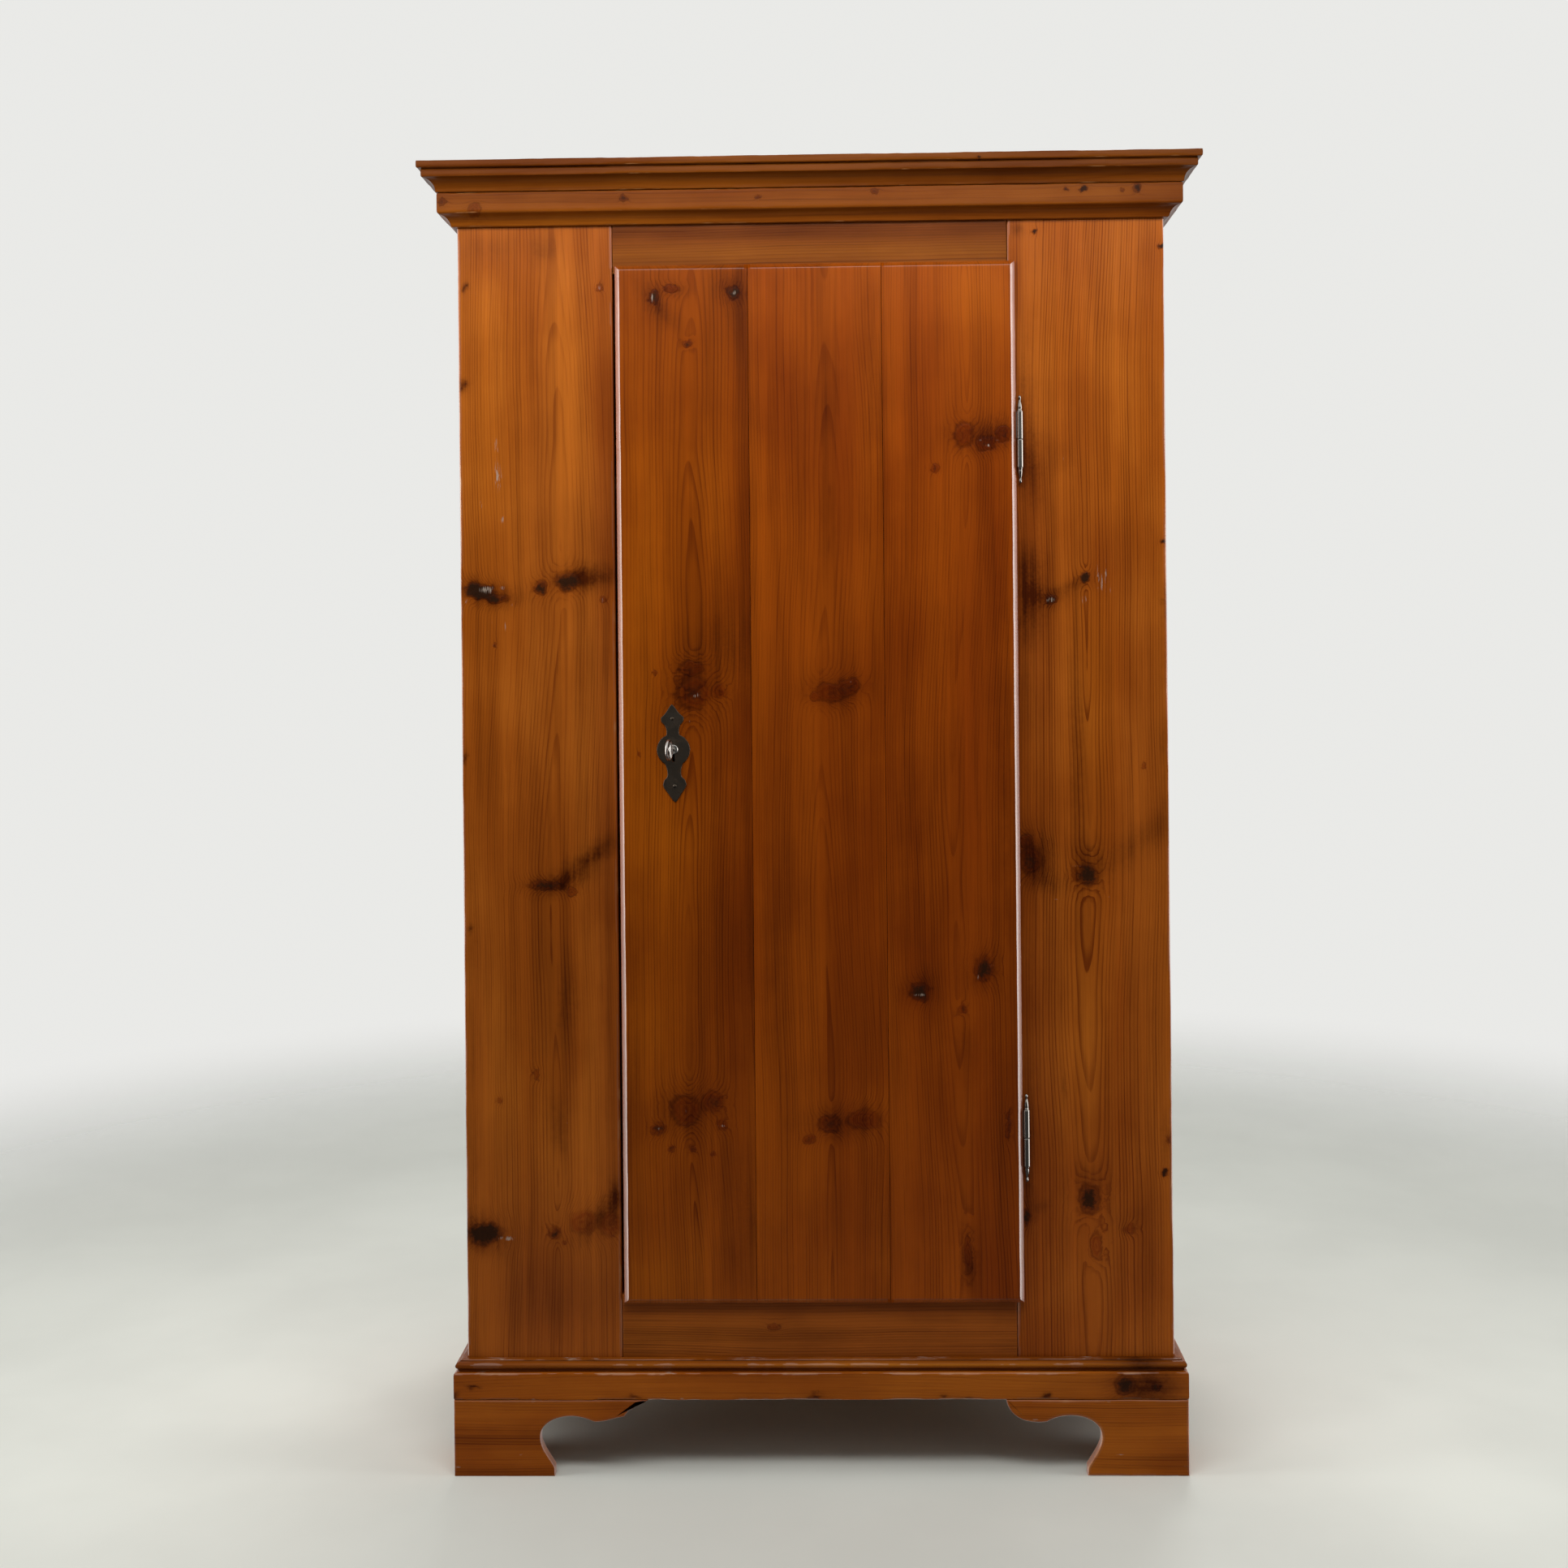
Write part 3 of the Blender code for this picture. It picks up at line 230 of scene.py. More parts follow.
turns = np.linspace(0, 2 * math.pi, 96, endpoint=False)
disc = np.stack([np.cos(turns), np.sin(turns), 0 * turns], -1) * FLOOR_RADIUS
floor = skin("floor", (np.stack([disc, disc - (0, 0, 0.01)]), None, False))
floor_finish, tree, shader, place = new_material("pale_floor")
mottle = cloud((3, 3, 3), place, 1.0, 4)
tree.links.new(blend(mottle.slope(0.3, 0.7), tuple(0.97 * c for c in FLOOR_COLOUR),
                     tuple(1.03 * c for c in FLOOR_COLOUR)), shader.inputs["Base Color"])
shader.inputs["Roughness"].default_value = 0.75
shader.inputs["Specular IOR Level"].default_value = 0.1
reach = (place[0] * place[0] + place[1] * place[1]).math("SQRT")
clear = tree.nodes.new("ShaderNodeBsdfTransparent")
output = next(node for node in tree.nodes if node.type == "OUTPUT_MATERIAL")
tree.links.new(choose(reach.slope(*FLOOR_FADE), shader.outputs[0], clear.outputs[0]), output.inputs[0])
floor.data.materials.append(floor_finish)
floor.visible_glossy = False

# Light: one wide soft lamp above and in front, two tall soft lamps level with the cupboard's front
# on the left and right, a weak one behind, and a dim sky. The background itself is plain and pale.
# What is polished mirrors tall bright windows on both sides in place of the lamps.
LAMPS = (
    # name, place, aimed at, width, height, watts
    ("lamp_above", (-0.15, -1.25, 2.25), (0.0, -0.25, 1.80), 2.0, 0.7, 26.5),
    ("lamp_left", (-2.7, -0.45, 1.45), (0.0, -0.2, 1.3), 0.8, 1.8, 29.5),
    ("lamp_right", (2.7, -0.45, 1.45), (0.0, -0.2, 1.3), 0.8, 1.8, 24),
    ("lamp_behind", (0.3, 2.0, 3.6), (0.0, 0.3, 1.2), 2.0, 1.2, 60),
)
BACKGROUND = (0.82, 0.82, 0.80)
SKY_COLOUR, SKY_LOW, SKY_HIGH = (1.0, 0.99, 0.96), 0.06, 0.28
HIGH_WINDOW = (0.06, 0.36)
SIDE_WINDOW = (0.84, 0.95)
SIDE_COLOUR = (1.0, 0.96, 0.93)
SIDE_LOW, SIDE_HIGH = 2.9, 3.9

for name, place_at, aim, width, height, watts in LAMPS:
    lamp = bpy.data.lights.new(name, "AREA")
    lamp.shape = "RECTANGLE"
    lamp.size, lamp.size_y, lamp.energy = width, height, watts
    lamp_object = bpy.data.objects.new(name, lamp)
    lamp_object.matrix_world = (Matrix.Translation(place_at)
                                @ (Vector(aim) - Vector(place_at)).to_track_quat("-Z", "Y")
                                .to_matrix().to_4x4())
    lamp_object.visible_camera = False
    lamp_object.visible_glossy = name == "lamp_behind"
    bpy.context.scene.collection.objects.link(lamp_object)

world = bpy.data.worlds.new("sky")
bpy.context.scene.world = world
world.use_nodes = True
tree = world.node_tree
tree.nodes.clear()
direction = tree.nodes.new("ShaderNodeTexCoord")
split = tree.nodes.new("ShaderNodeSeparateXYZ")
tree.links.new(direction.outputs["Generated"], split.inputs[0])
toward_x, toward_y, toward_z = [Formula(tree, socket) for socket in split.outputs]
sky = toward_z.slope(-0.1, 0.9, SKY_LOW, SKY_HIGH)
rays = tree.nodes.new("ShaderNodeLightPath")
camera_ray = Formula(tree, rays.outputs["Is Camera Ray"])
mirror_ray = Formula(tree, rays.outputs["Is Glossy Ray"]).math(
    "MAXIMUM", Formula(tree, rays.outputs["Is Transmission Ray"]))
shown = camera_ray.math("MAXIMUM", mirror_ray * toward_y.slope(0.0, 0.5))
shown = shown.math("MAXIMUM", mirror_ray * toward_z.slope(*HIGH_WINDOW))


def sky_part(colour, strength=None):
    """A part of the surroundings in one colour, 1 strong or as strong as a formula says."""
    node = tree.nodes.new("ShaderNodeBackground")
    node.inputs[0].default_value = (*colour, 1.0)
    if strength:
        strength.to(node.inputs[1])
    return node.outputs[0]


around = choose(shown, sky_part(SKY_COLOUR, sky), sky_part(BACKGROUND))
window = mirror_ray * toward_x.math("ABSOLUTE").slope(*SIDE_WINDOW)
around = choose(window, around, sky_part(SIDE_COLOUR, toward_z.slope(-0.4, 0.2, SIDE_LOW, SIDE_HIGH)))
output = tree.nodes.new("ShaderNodeOutputWorld")
tree.links.new(around, output.inputs[0])

# Carcass: side boards, bottom, top, lapped back boards, shelves on cleats and the corner blocks.
# They are plain pine boards as the CAD has them, with their arrises eased. The sides carry the
# front's stain and wax, the inside is bare, and the back and top are rough and dark. The bottom
# board and the corner blocks take the same dark finish as painted shade under the cupboard.
EARLY, EARLY_RED, LATE = (0.380, 0.100, 0.0070), (0.315, 0.070, 0.0040), (0.170, 0.028, 0.0018)
# The pale colour is that of scratches and chips, and of painted glints on knots and painted highlights
# along arrises.
KNOT_DARK, PALE_SCRATCH_AND_GLINT = (0.022, 0.0085, 0.0035), (0.38, 0.30, 0.24)
RAW = (0.44, 0.20, 0.070)  # where the stain is rubbed through
# What multiplies the wood's colour: stains, the glow round a knot, the knot, its rim, and dirt
# together with painted shade in the mouldings' hollows.
STAIN_TINT, HALO_TINT, KNOT_TINT = (0.22, 0.16, 0.15), (0.60, 0.44, 0.38), (0.62, 0.42, 0.36)
RIM_TINT, HOLLOW_SHADE_AND_DIRT_TINT = (0.34, 0.27, 0.25), (0.22, 0.18, 0.17)
SOFT = 0.8
INNER_EARLY, INNER_RED = (0.52, 0.295, 0.125), (0.45, 0.235, 0.090)
INNER_LATE = (0.31, 0.135, 0.045)
# Dark rough pine for the back and top, and painted shade for the bottom board and corner blocks under
# the cupboard.
DARK_AND_SHADE_EARLY, DARK_AND_SHADE_RED = (0.215, 0.105, 0.042), (0.165, 0.076, 0.030)
DARK_AND_SHADE_LATE = (0.100, 0.043, 0.017)


def oval(u, w, x, z, half_wide, half_long, lean=0.0):
    """The squared distance from the middle of an oval, 1 on its rim. lean is how far it climbs
    along the board for each metre across."""
    first = u.math("MULTIPLY_ADD", 1 / half_wide, -x / half_wide)
    second = w.math("MULTIPLY_ADD", 1 / half_long, -z / half_long)
    if lean:
        second = first.math("MULTIPLY_ADD", -lean * half_wide / half_long, second)
    return second.math("MULTIPLY_ADD", second, first * first)


def gathered(u, w, rows, steep):
    """The sum of soft ovals, each its strength times exp(-steep times its squared distance)."""
    total = None
    for x, z, half_wide, half_long, strength, *lean in rows:
        soft = (oval(u, w, x, z, half_wide, half_long, *lean) * -steep).math("EXPONENT")
        total = soft * strength if total is None else soft.math("MULTIPLY_ADD", strength, total)
    return total


def pine(name, along, across, seed, pith=(0.0, 0.016, 0.0), taper=0.02, ring=0.0040,
         knots=(), stains=(), scratches_and_glints=(), tone_and_light_rows=(), colours=(EARLY, EARLY_RED, LATE),
         contrast=1.0, wax=True, face=None, bare=None):
    """Pine as a solid: the year rings are cones round a pith, R = root(across2 + depth2), where
    across and depth drift slowly and depth grows with the length by the taper. Every knot lifts R
    in a hump, so that the rings run round it. The late wood is a line at the end of each ring.
    knots, stains and the pale ones are (across, along, half width, half length, strength, lean) on
    the board's face: branches, dark patches under the wax, and pale scratches and chips, with
    painted glints on knots and painted highlights along arrises among the pale ones. The broad rows
    are the same for parts that are darker and redder, or lighter where negative: the wood's own tone
    and painted light and shade together. The pith is its place across, its depth behind the face
    and the place along where both hold. face is where the face lies in the depth's direction: with
    it the rings are the same on the board's edges.
    bare is where in that direction the stain ends and the bare wood of the inside begins."""
    material, tree, shader, place = new_material(name)
    deep = next(axis for axis in range(3) if axis not in (along, across))
    wood = [place[across], place[deep], place[along]]
    u, d, w = wood
    drift, sway, ripple, jitter, wobble, thread, streak, tone, patch = (
        cloud((wide, wide, long), wood, seed + more, detail) - 0.5
        for wide, long, more, detail in (
            (3, 1.3, 0, 1.5), (5, 2.3, 11, 2.0), (30, 9, 23, 2.0), (95, 95, 31, 3.0), (95, 95, 37, 3.0),
            (190, 3, 15, 2.0), (42, 1.6, 7, 2.5), (11, 1.2, 9, 3.0), (9, 6, 13, 4.0)))
    fibre = cloud((620, 620, 10), wood, seed + 5, 3.0, 0.6) - 0.5
    speck = cloud((250, 250, 250), wood, seed + 19, 3.0)
    aside = u - pith[0] + drift * 0.060
    below = (w - pith[2]) * taper + pith[1] + sway * 0.030
    if face is not None:
        below = below + (face - d)
    radius = (aside * aside + below * below).math("SQRT") + ripple * 0.0022
    u_knot = u + jitter * 0.013 + ripple * 0.009
    w_knot = w + wobble * 0.013 + ripple * 0.009
    near = halo = heart = None
    for x, z, half_wide, half_long, depth in knots:
        square = oval(u_knot, w_knot, x, z, half_wide, half_long)
        hump = (square * -0.45).math("EXPONENT")
        radius = hump.math("MULTIPLY_ADD", 1.15 * math.sqrt(half_wide * half_long), radius)
        core = hump * hump * hump
        if near is None:
            near, halo, heart = square, hump * (0.3 + 0.7 * depth), core * depth ** 2
        else:
            near = square.math("MINIMUM", near)
            halo = hump.math("MULTIPLY_ADD", 0.3 + 0.7 * depth, halo)
            heart = core.math("MULTIPLY_ADD", depth ** 2, heart)
    rings = radius / ring + cloud((26.0, 0.0, 0.0), [radius, radius, radius], seed + 3, 1.0) * 3.6
    share = rings.math("FRACT")
    noise = tree.nodes.new("ShaderNodeTexWhiteNoise")
    noise.noise_dimensions = "1D"
    rings.math("FLOOR").to(noise.inputs["W"])
    each = Formula(tree, noise.outputs[0])
    line = share.slope(0.42, 0.93) * share.slope(0.94, 1.0, 1.0, 0.0) * (each * 0.75 + 0.25)
    late = line * (streak * 1.6 + tone * 1.6 + 1.0) * (0.68 * contrast)
    late = (late + fibre * 0.5 + thread * 0.35 + streak * 0.6).math("MAXIMUM", 0.0)
    early = blend((tone + patch * 0.7).slope(-0.16, 0.20), colours[0], colours[1])
    late_colour = colours[2]
    if bare:
        inside = d.slope(*bare)
        early = blend(inside, early, INNER_RED)
        late_colour = blend(inside, late_colour, INNER_LATE)
    colour = blend(late, early, late_colour)
    value = tree.nodes.new("ShaderNodeHueSaturation")
    tree.links.new(colour, value.inputs["Color"])
    level = tone * -0.55 + patch * -0.45 + streak * -0.45 + thread * -0.30 + fibre * -0.25 + 1.0
    # Broad rows: the wood's own tone and painted light and shade together, darker and redder, or lighter
    # and yellower where negative.
    if tone_and_light_rows:
        shade = gathered(u, w, tone_and_light_rows, SOFT)
        level = shade.math("MULTIPLY_ADD", -0.8, level)
        shade.math("MULTIPLY_ADD", -0.012, 0.5).to(value.inputs["Hue"])
    level.to(value.inputs["Value"])
    colour = value.outputs[0]
    height = line * 0.00005 + fibre * 0.00008 + ripple * 0.00055 + patch * 0.0008
    if stains:
        total = gathered(u_knot + ripple * 0.016, w_knot + ripple * 0.024, stains, SOFT)
        total = total * (patch * 1.8 + streak * 1.2 + thread * 1.1 + speck * 0.8 + 0.6)
        colour = blend(total.math("MAXIMUM", 0.0), colour, STAIN_TINT, "MULTIPLY")
    if near is not None:
        fill = near.slope(0.50, 1.30, 1.0, 0.0)
        rim = near.slope(0.50, 0.95) * near.slope(1.0, 1.7, 1.0, 0.0) * (patch * 2.5 + 0.55)
        circles = (near.math("SQRT") * 13.0 + jitter * 7.0).math("SINE").slope(-1.0, 1.0)
        colour = blend(halo * 0.50, colour, HALO_TINT, "MULTIPLY")
        colour = blend(fill * (circles * 0.30 + 0.42), colour, KNOT_TINT, "MULTIPLY")
        colour = blend(rim.math("MAXIMUM", 0.0) * 0.7, colour, RIM_TINT, "MULTIPLY")
        heart = heart * (speck * 1.2 + 0.30)
        colour = blend(heart.slope(0.10, 0.55, 0.0, 0.94), colour, KNOT_DARK)
        height = height + fill * 0.00025 - rim * 0.0003 + heart * (speck - 0.5) * 0.0012
    # Pale scratches and chips, with painted glints on knots and painted highlights along arrises among
    # them.
    if scratches_and_glints:
        grit = cloud((520.0, 520.0, 75.0), wood, seed + 29, 3.0)
        scratch_and_glint = gathered(u + jitter * 0.004, w + wobble * 0.004, scratches_and_glints, 1.0)
        scratch_and_glint = (scratch_and_glint * grit.slope(0.36, 0.66, 0.0, 1.3)).slope(0.15, 0.95)
        colour = blend(scratch_and_glint * 0.7, colour, PALE_SCRATCH_AND_GLINT)
        height = height - scratch_and_glint * 0.0003
    worn = tree.nodes.new("ShaderNodeAttribute")
    worn.attribute_name = "worn"
    rubbed = Formula(tree, worn.outputs["Fac"]) * cloud((90.0, 90.0, 35.0), wood, seed + 17, 3.0)
    colour = blend(rubbed.slope(0.42, 0.75, 0.0, 0.55), colour, RAW)
    # Darker where the wear is negative, in the mouldings' concave hollows: dirt there together with
    # painted shade.
    hollow_shade_and_dirt = Formula(tree, worn.outputs["Fac"]) * (patch * -1.2 - 1.0)
    colour = blend(hollow_shade_and_dirt.slope(0.25, 0.9, 0.0, 0.8), colour, HOLLOW_SHADE_AND_DIRT_TINT, "MULTIPLY")
    tree.links.new(colour, shader.inputs["Base Color"])
    dull = patch * 0.18 + fibre * 0.12 + (0.34 if wax else 0.66)
    if bare:
        dull = inside.math("MULTIPLY_ADD", 0.3, dull)
    dull.to(shader.inputs["Roughness"])
    shader.inputs["Specular IOR Level"].default_value = 0.06 if wax else 0.2
    shader.inputs["Coat Weight"].default_value = 0.16 if wax else 0.0
    shader.inputs["Coat Roughness"].default_value = 0.16
    bump(tree, shader, height)
    return material


def polished(material, gloss):
    """The same pine where hands and dusters have rubbed its arrises to a polish."""
    bright = material.copy()
    bright.name = material.name + "_arris"
    shader = next(node for node in bright.node_tree.nodes if node.type == "BSDF_PRINCIPLED")
    shader.inputs["Specular IOR Level"].default_value = 0.5 * gloss
    shader.inputs["Coat Weight"].default_value = gloss
    shader.inputs["Coat IOR"].default_value = 1.5 + 0.8 * gloss
    for node in bright.node_tree.nodes:
        if node.type == "BUMP":
            node.inputs["Strength"].default_value = 0.4
    return bright


def lengthwise(rows):
    """Rows of (x, z, half wide, half tall, ...) turned to a board that lies along x."""
    return [(z, x, tall, wide, *more) for x, z, wide, tall, *more in rows]


def ease(node, width):
    """Merges a CAD node's loose triangles and rounds its arrises, both as modifiers."""
    node.modifiers.new("merged", "WELD").merge_threshold = 0.00001
    rounded = node.modifiers.new("eased", "BEVEL")
    rounded.width, rounded.segments, rounded.limit_method = width, 2, "ANGLE"
    rounded.angle_limit = math.radians(40)
    rounded.harden_normals = False


def dress(names, material, width=0.0012):
    """Gives CAD nodes their finish and eased arrises."""
    for name in names:
        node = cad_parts[name]
        node.data.materials.clear()
        node.data.materials.append(material)
        ease(node, width)


X, Y, Z = 0, 1, 2
inner_finish = (INNER_EARLY, INNER_RED, INNER_LATE)
dark_and_shade_finish = (DARK_AND_SHADE_EARLY, DARK_AND_SHADE_RED, DARK_AND_SHADE_LATE)
side_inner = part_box("side_board_right")[0].x
for side, sign, seed in (("left", -1, 3.1), ("right", 1, 4.7)):
    dress([f"side_board_{side}"], pine(
        f"side_pine_{side}", Z, Y, seed, pith=(0.02, sign * -0.03, 0.9), taper=sign * -0.02,
        face=sign * 0.5, bare=(sign * (side_inner + 0.0030), sign * (side_inner + 0.0010)),
        knots=((-0.08, 1.42, 0.014, 0.012, 0.8), (0.11, 0.93, 0.010, 0.010, 0.5),
               (-0.02, 0.44, 0.013, 0.011, 0.7), (0.17, 1.61, 0.008, 0.008, 0.6),
               (-0.13, 0.71, 0.007, 0.008, 0.4)),
        stains=((-0.09, 1.41, 0.04, 0.02, 0.4), (0.20, 0.30, 0.03, 0.30, 0.2))))
# The bottom board takes the dark finish as painted shade under the cupboard.
dress(["bottom_board"], pine("bottom_pine_painted_shade", X, Y, 5.3, pith=(-0.04, 0.05, 0.0), wax=False,
                             colours=dark_and_shade_finish))
dress(["shelf_1", "shelf_2", "shelf_3"], pine(
    "shelf_pine", X, Y, 5.9, pith=(0.03, 0.06, 0.0), taper=0.03, colours=inner_finish, wax=False,
    knots=((-0.10, -0.22, 0.010, 0.012, 0.6), (0.07, 0.18, 0.009, 0.011, 0.8),
           (0.16, -0.05, 0.006, 0.008, 0.5))))
dress([f"shelf_cleat_{side}_{number}" for side in ("left", "right") for number in (1, 2, 3)], pine(
    "cleat_pine", Y, Z, 6.3, pith=(0.9, 0.3, 0.0), colours=inner_finish, wax=False))
dress(["top_board"], pine("top_pine", X, Y, 7.7, pith=(0.05, 0.05, 0.0), colours=dark_and_shade_finish,
                          wax=False, knots=((-0.10, 0.25, 0.012, 0.013, 0.7),
                                            (0.12, -0.2, 0.010, 0.011, 0.6))))
for number in range(1, 5):
    low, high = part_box(f"back_board_{number}")
    middle = (low.x + high.x) / 2
    dress([f"back_board_{number}"], pine(
        f"back_pine_{number}", Z, X, 8.3 + 1.9 * number, pith=(middle + 0.02, 0.04, 1.0),
        colours=dark_and_shade_finish, wax=False, ring=0.0042,
        knots=((middle - 0.05, 0.35 + 0.27 * number, 0.012, 0.014, 0.8),
               (middle + 0.06, 1.62 - 0.23 * number, 0.010, 0.012, 0.6))))
# The corner blocks take the dark finish as painted shade under the cupboard.
dress([f"foot_block_{side}_{end}" for side in ("left", "right") for end in ("front", "rear")], pine(
    "block_pine_painted_shade", Z, X, 9.9, pith=(0.43, 0.2, 0.0), colours=dark_and_shade_finish, wax=False))

# Front frame: two wide stiles and two rails, all of thick pine, the rails tenoned into the stiles.
# Their arrises are rubbed round by long use, more in one place than in the next.
FACE_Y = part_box("stile_left")[0].y
SUPPORT = 0.0012


def wander(seed, places, wavelength, finer=3):
    """Smooth random numbers about 0: random ones a wavelength apart joined by smooth slopes, with
    the same again at half the wavelength and half the height, and so on."""
    draw = np.random.default_rng(seed)
    total = np.zeros(len(places))
    for level in range(finer):
        spot = (places - places.min()) * 2 ** level / wavelength + draw.random()
        heights = draw.uniform(-1, 1, int(spot.max()) + 2)
        cell = spot.astype(int)
        part = spot - cell
        part = part * part * (3 - 2 * part)
        total += (heights[cell] * (1 - part) + heights[cell + 1] * part) / 2 ** level
    return total / 1.5


def rectangle(low, high, step=0.004):
    """Points round a rectangle, counter-clockwise from its low corner, a step apart."""
    wide, tall = high[0] - low[0], high[1] - low[1]
    over, up = (np.linspace(0, 1, max(2, round(size / step)), endpoint=False) for size in (wide, tall))
    return np.concatenate([
        np.stack([low[0] + over * wide, low[1] + 0 * over], -1),
        np.stack([high[0] + 0 * up, low[1] + up * tall], -1),
        np.stack([high[0] - over * wide, high[1] + 0 * over], -1),
        np.stack([low[0] + 0 * up, high[1] - up * tall], -1)])


def moved_in(outline, distance):
    """The outline moved inwards, each point along the bisector of its two edges."""
    before, after = outline - np.roll(outline, 1, 0), np.roll(outline, -1, 0) - outline
    first = np.stack([-before[:, 1], before[:, 0]], -1) / np.linalg.norm(before, axis=1)[:, None]
    second = np.stack([-after[:, 1], after[:, 0]], -1) / np.linalg.norm(after, axis=1)[:, None]
    bisector = (first + second) / np.maximum(1 + (first * second).sum(1), 0.3)[:, None]
    return outline + bisector * np.asarray(distance)[..., None]


def slab(outline, thick, arris, place, seed, rear_arris=0.0008, wear=0.45, support=SUPPORT):
    """A flat board as rings from its front face to its back face. Round the front arris the ring
    moves in by r(1 - sin t) and back by r(1 - cos t), where r wanders along the outline."""
    lengths = np.linalg.norm(np.roll(outline, -1, 0) - outline, axis=1)
    travelled = np.cumsum(lengths)
    rubbed = np.clip(1 + wear * wander(seed, travelled, 0.09) + 0.5 * wear
                     * np.maximum(0, wander(seed + 1, travelled, 0.02)), 0.35, 2.4)
    rings, wears = [], []

    def add(inward, depth, worn):
        flat = moved_in(outline, inward)
        rings.append(place(flat[:, 0], flat[:, 1], depth + 0 * rubbed))
        wears.append(worn * rubbed)

    radius = arris * rubbed
    add(radius + support, 0, 0.0)
    for turn in np.linspace(0, math.pi / 2, 5):
        add(radius * (1 - math.sin(turn)), radius * (1 - math.cos(turn)), 0.7)
    add(0 * radius, radius + support, 0.1)
    add(0 * radius, thick - rear_arris - support / 2, 0.0)
    for turn in np.linspace(math.pi / 2, 0, 3):
        add(rear_arris * (1 - math.sin(turn)) + 0 * radius,
            thick - rear_arris * (1 - math.cos(turn)), 0.3)
    add(rear_arris + support + 0 * radius, thick, 0.0)
    return np.stack(rings), np.stack(wears), False


def fit(made, material, body, slot, *nodes, gloss=1.0):
    """Gives a piece its finish and its body, and hides the CAD nodes that it stands for. The slot
    only chooses the finish: in front_pine, faces on the arrises of pine get the polished finish."""
    made.data.materials.append(material)
    if slot == "front_pine":
        made.data.materials.append(polished(material, gloss))
    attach(made, body)
    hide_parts(*nodes)


def on_front(x, z, depth):
    """Points on the frame's front, counted back from its face."""
    return np.stack([x, FACE_Y + depth, z], -1)


def in_metres(*rows):
    """Rows of a table whose first four numbers are millimetres, turned to metres."""
    return [(*(part / 1000 for part in row[:4]), *row[4:]) for row in rows]


# Each row: place across and along, half width, half length, strength and sometimes the lean.
LEFT_KNOTS = in_metres(
    (-474, 1250, 23, 11.5, 1), (-448, 1240, 16.1, 6.9, 0.7), (-386, 1253, 9.2, 9.2, 0.8),
    (-348, 1261, 17.2, 13.8, 0.9), (-297, 1234, 4.6, 5.7, 0.5), (-450, 1174, 2.3, 4.6, 0.6),
    (-346, 821, 6.9, 6.9, 0.5), (-383, 830, 25.3, 6.9, 0.7), (-474, 337, 24.1, 14.9, 1),
    (-374, 336, 9.2, 9.2, 0.7), (-360, 323, 3.4, 3.4, 0.4), (-333, 354, 19.5, 17.2, 0.25),
    (-296, 349, 14.9, 17.2, 0.5), (-298, 1677, 4.6, 5.7, 0.4), (-450, 528, 4.6, 4.6, 0.25),
    (-397, 564, 4.6, 8, 0.25))
LEFT_STAINS = in_metres(
    (-462, 1250, 39, 13.8, 0.9, -0.2), (-317, 1268, 39, 14.9, 0.85, 0.1),
    (-318, 869, 41.3, 16.1, 0.75, 0.66), (-362, 834, 34.4, 11.5, 0.6, 0.2),
    (-481, 339, 25.3, 23, 0.9, -0.5), (-304, 366, 27.6, 18.4, 0.8, 0.9), (-289, 389, 11.5, 29.9, 0.6),
    (-376, 1738, 14.9, 18.4, 0.28), (-445, 1742, 34.4, 16.1, 0.15), (-490, 1680, 3.4, 4.6, 0.9),
    (-490, 1544, 4.6, 8, 0.9), (-496, 1012, 3.4, 6.9, 0.9), (-494, 766, 3.4, 4.6, 0.8),
    (-353, 667, 10.3, 48.2, 0.35), (-365, 487, 10.3, 43.6, 0.35), (-492, 641, 9.2, 298.5, 0.2))
# Pale scratches, with painted glints on the knots among them.
LEFT_SCRATCHES_AND_GLINTS = in_metres(
    (-445, 1412, 4.6, 18.4, 1), (-447, 1454, 3.4, 13.8, 0.5), (-470, 1371, 2.3, 6.9, 0.6),
    (-439, 1351, 3.4, 5.7, 0.6), (-462, 1251, 9.2, 4.6, 1.2), (-491, 1235, 2.3, 3.4, 0.8),
    (-440, 1254, 3.4, 3.4, 0.7), (-428, 1229, 3.4, 3.4, 0.4), (-437, 1200, 1.1, 13.8, 0.5),
    (-457, 1206, 2.3, 6.9, 0.3), (-297, 1234, 2.3, 4.6, 0.7), (-443, 330, 10.3, 2.9, 1.2),
    (-355, 494, 1.7, 2.3, 0.5), (-298, 1678, 1.7, 4.6, 0.6))
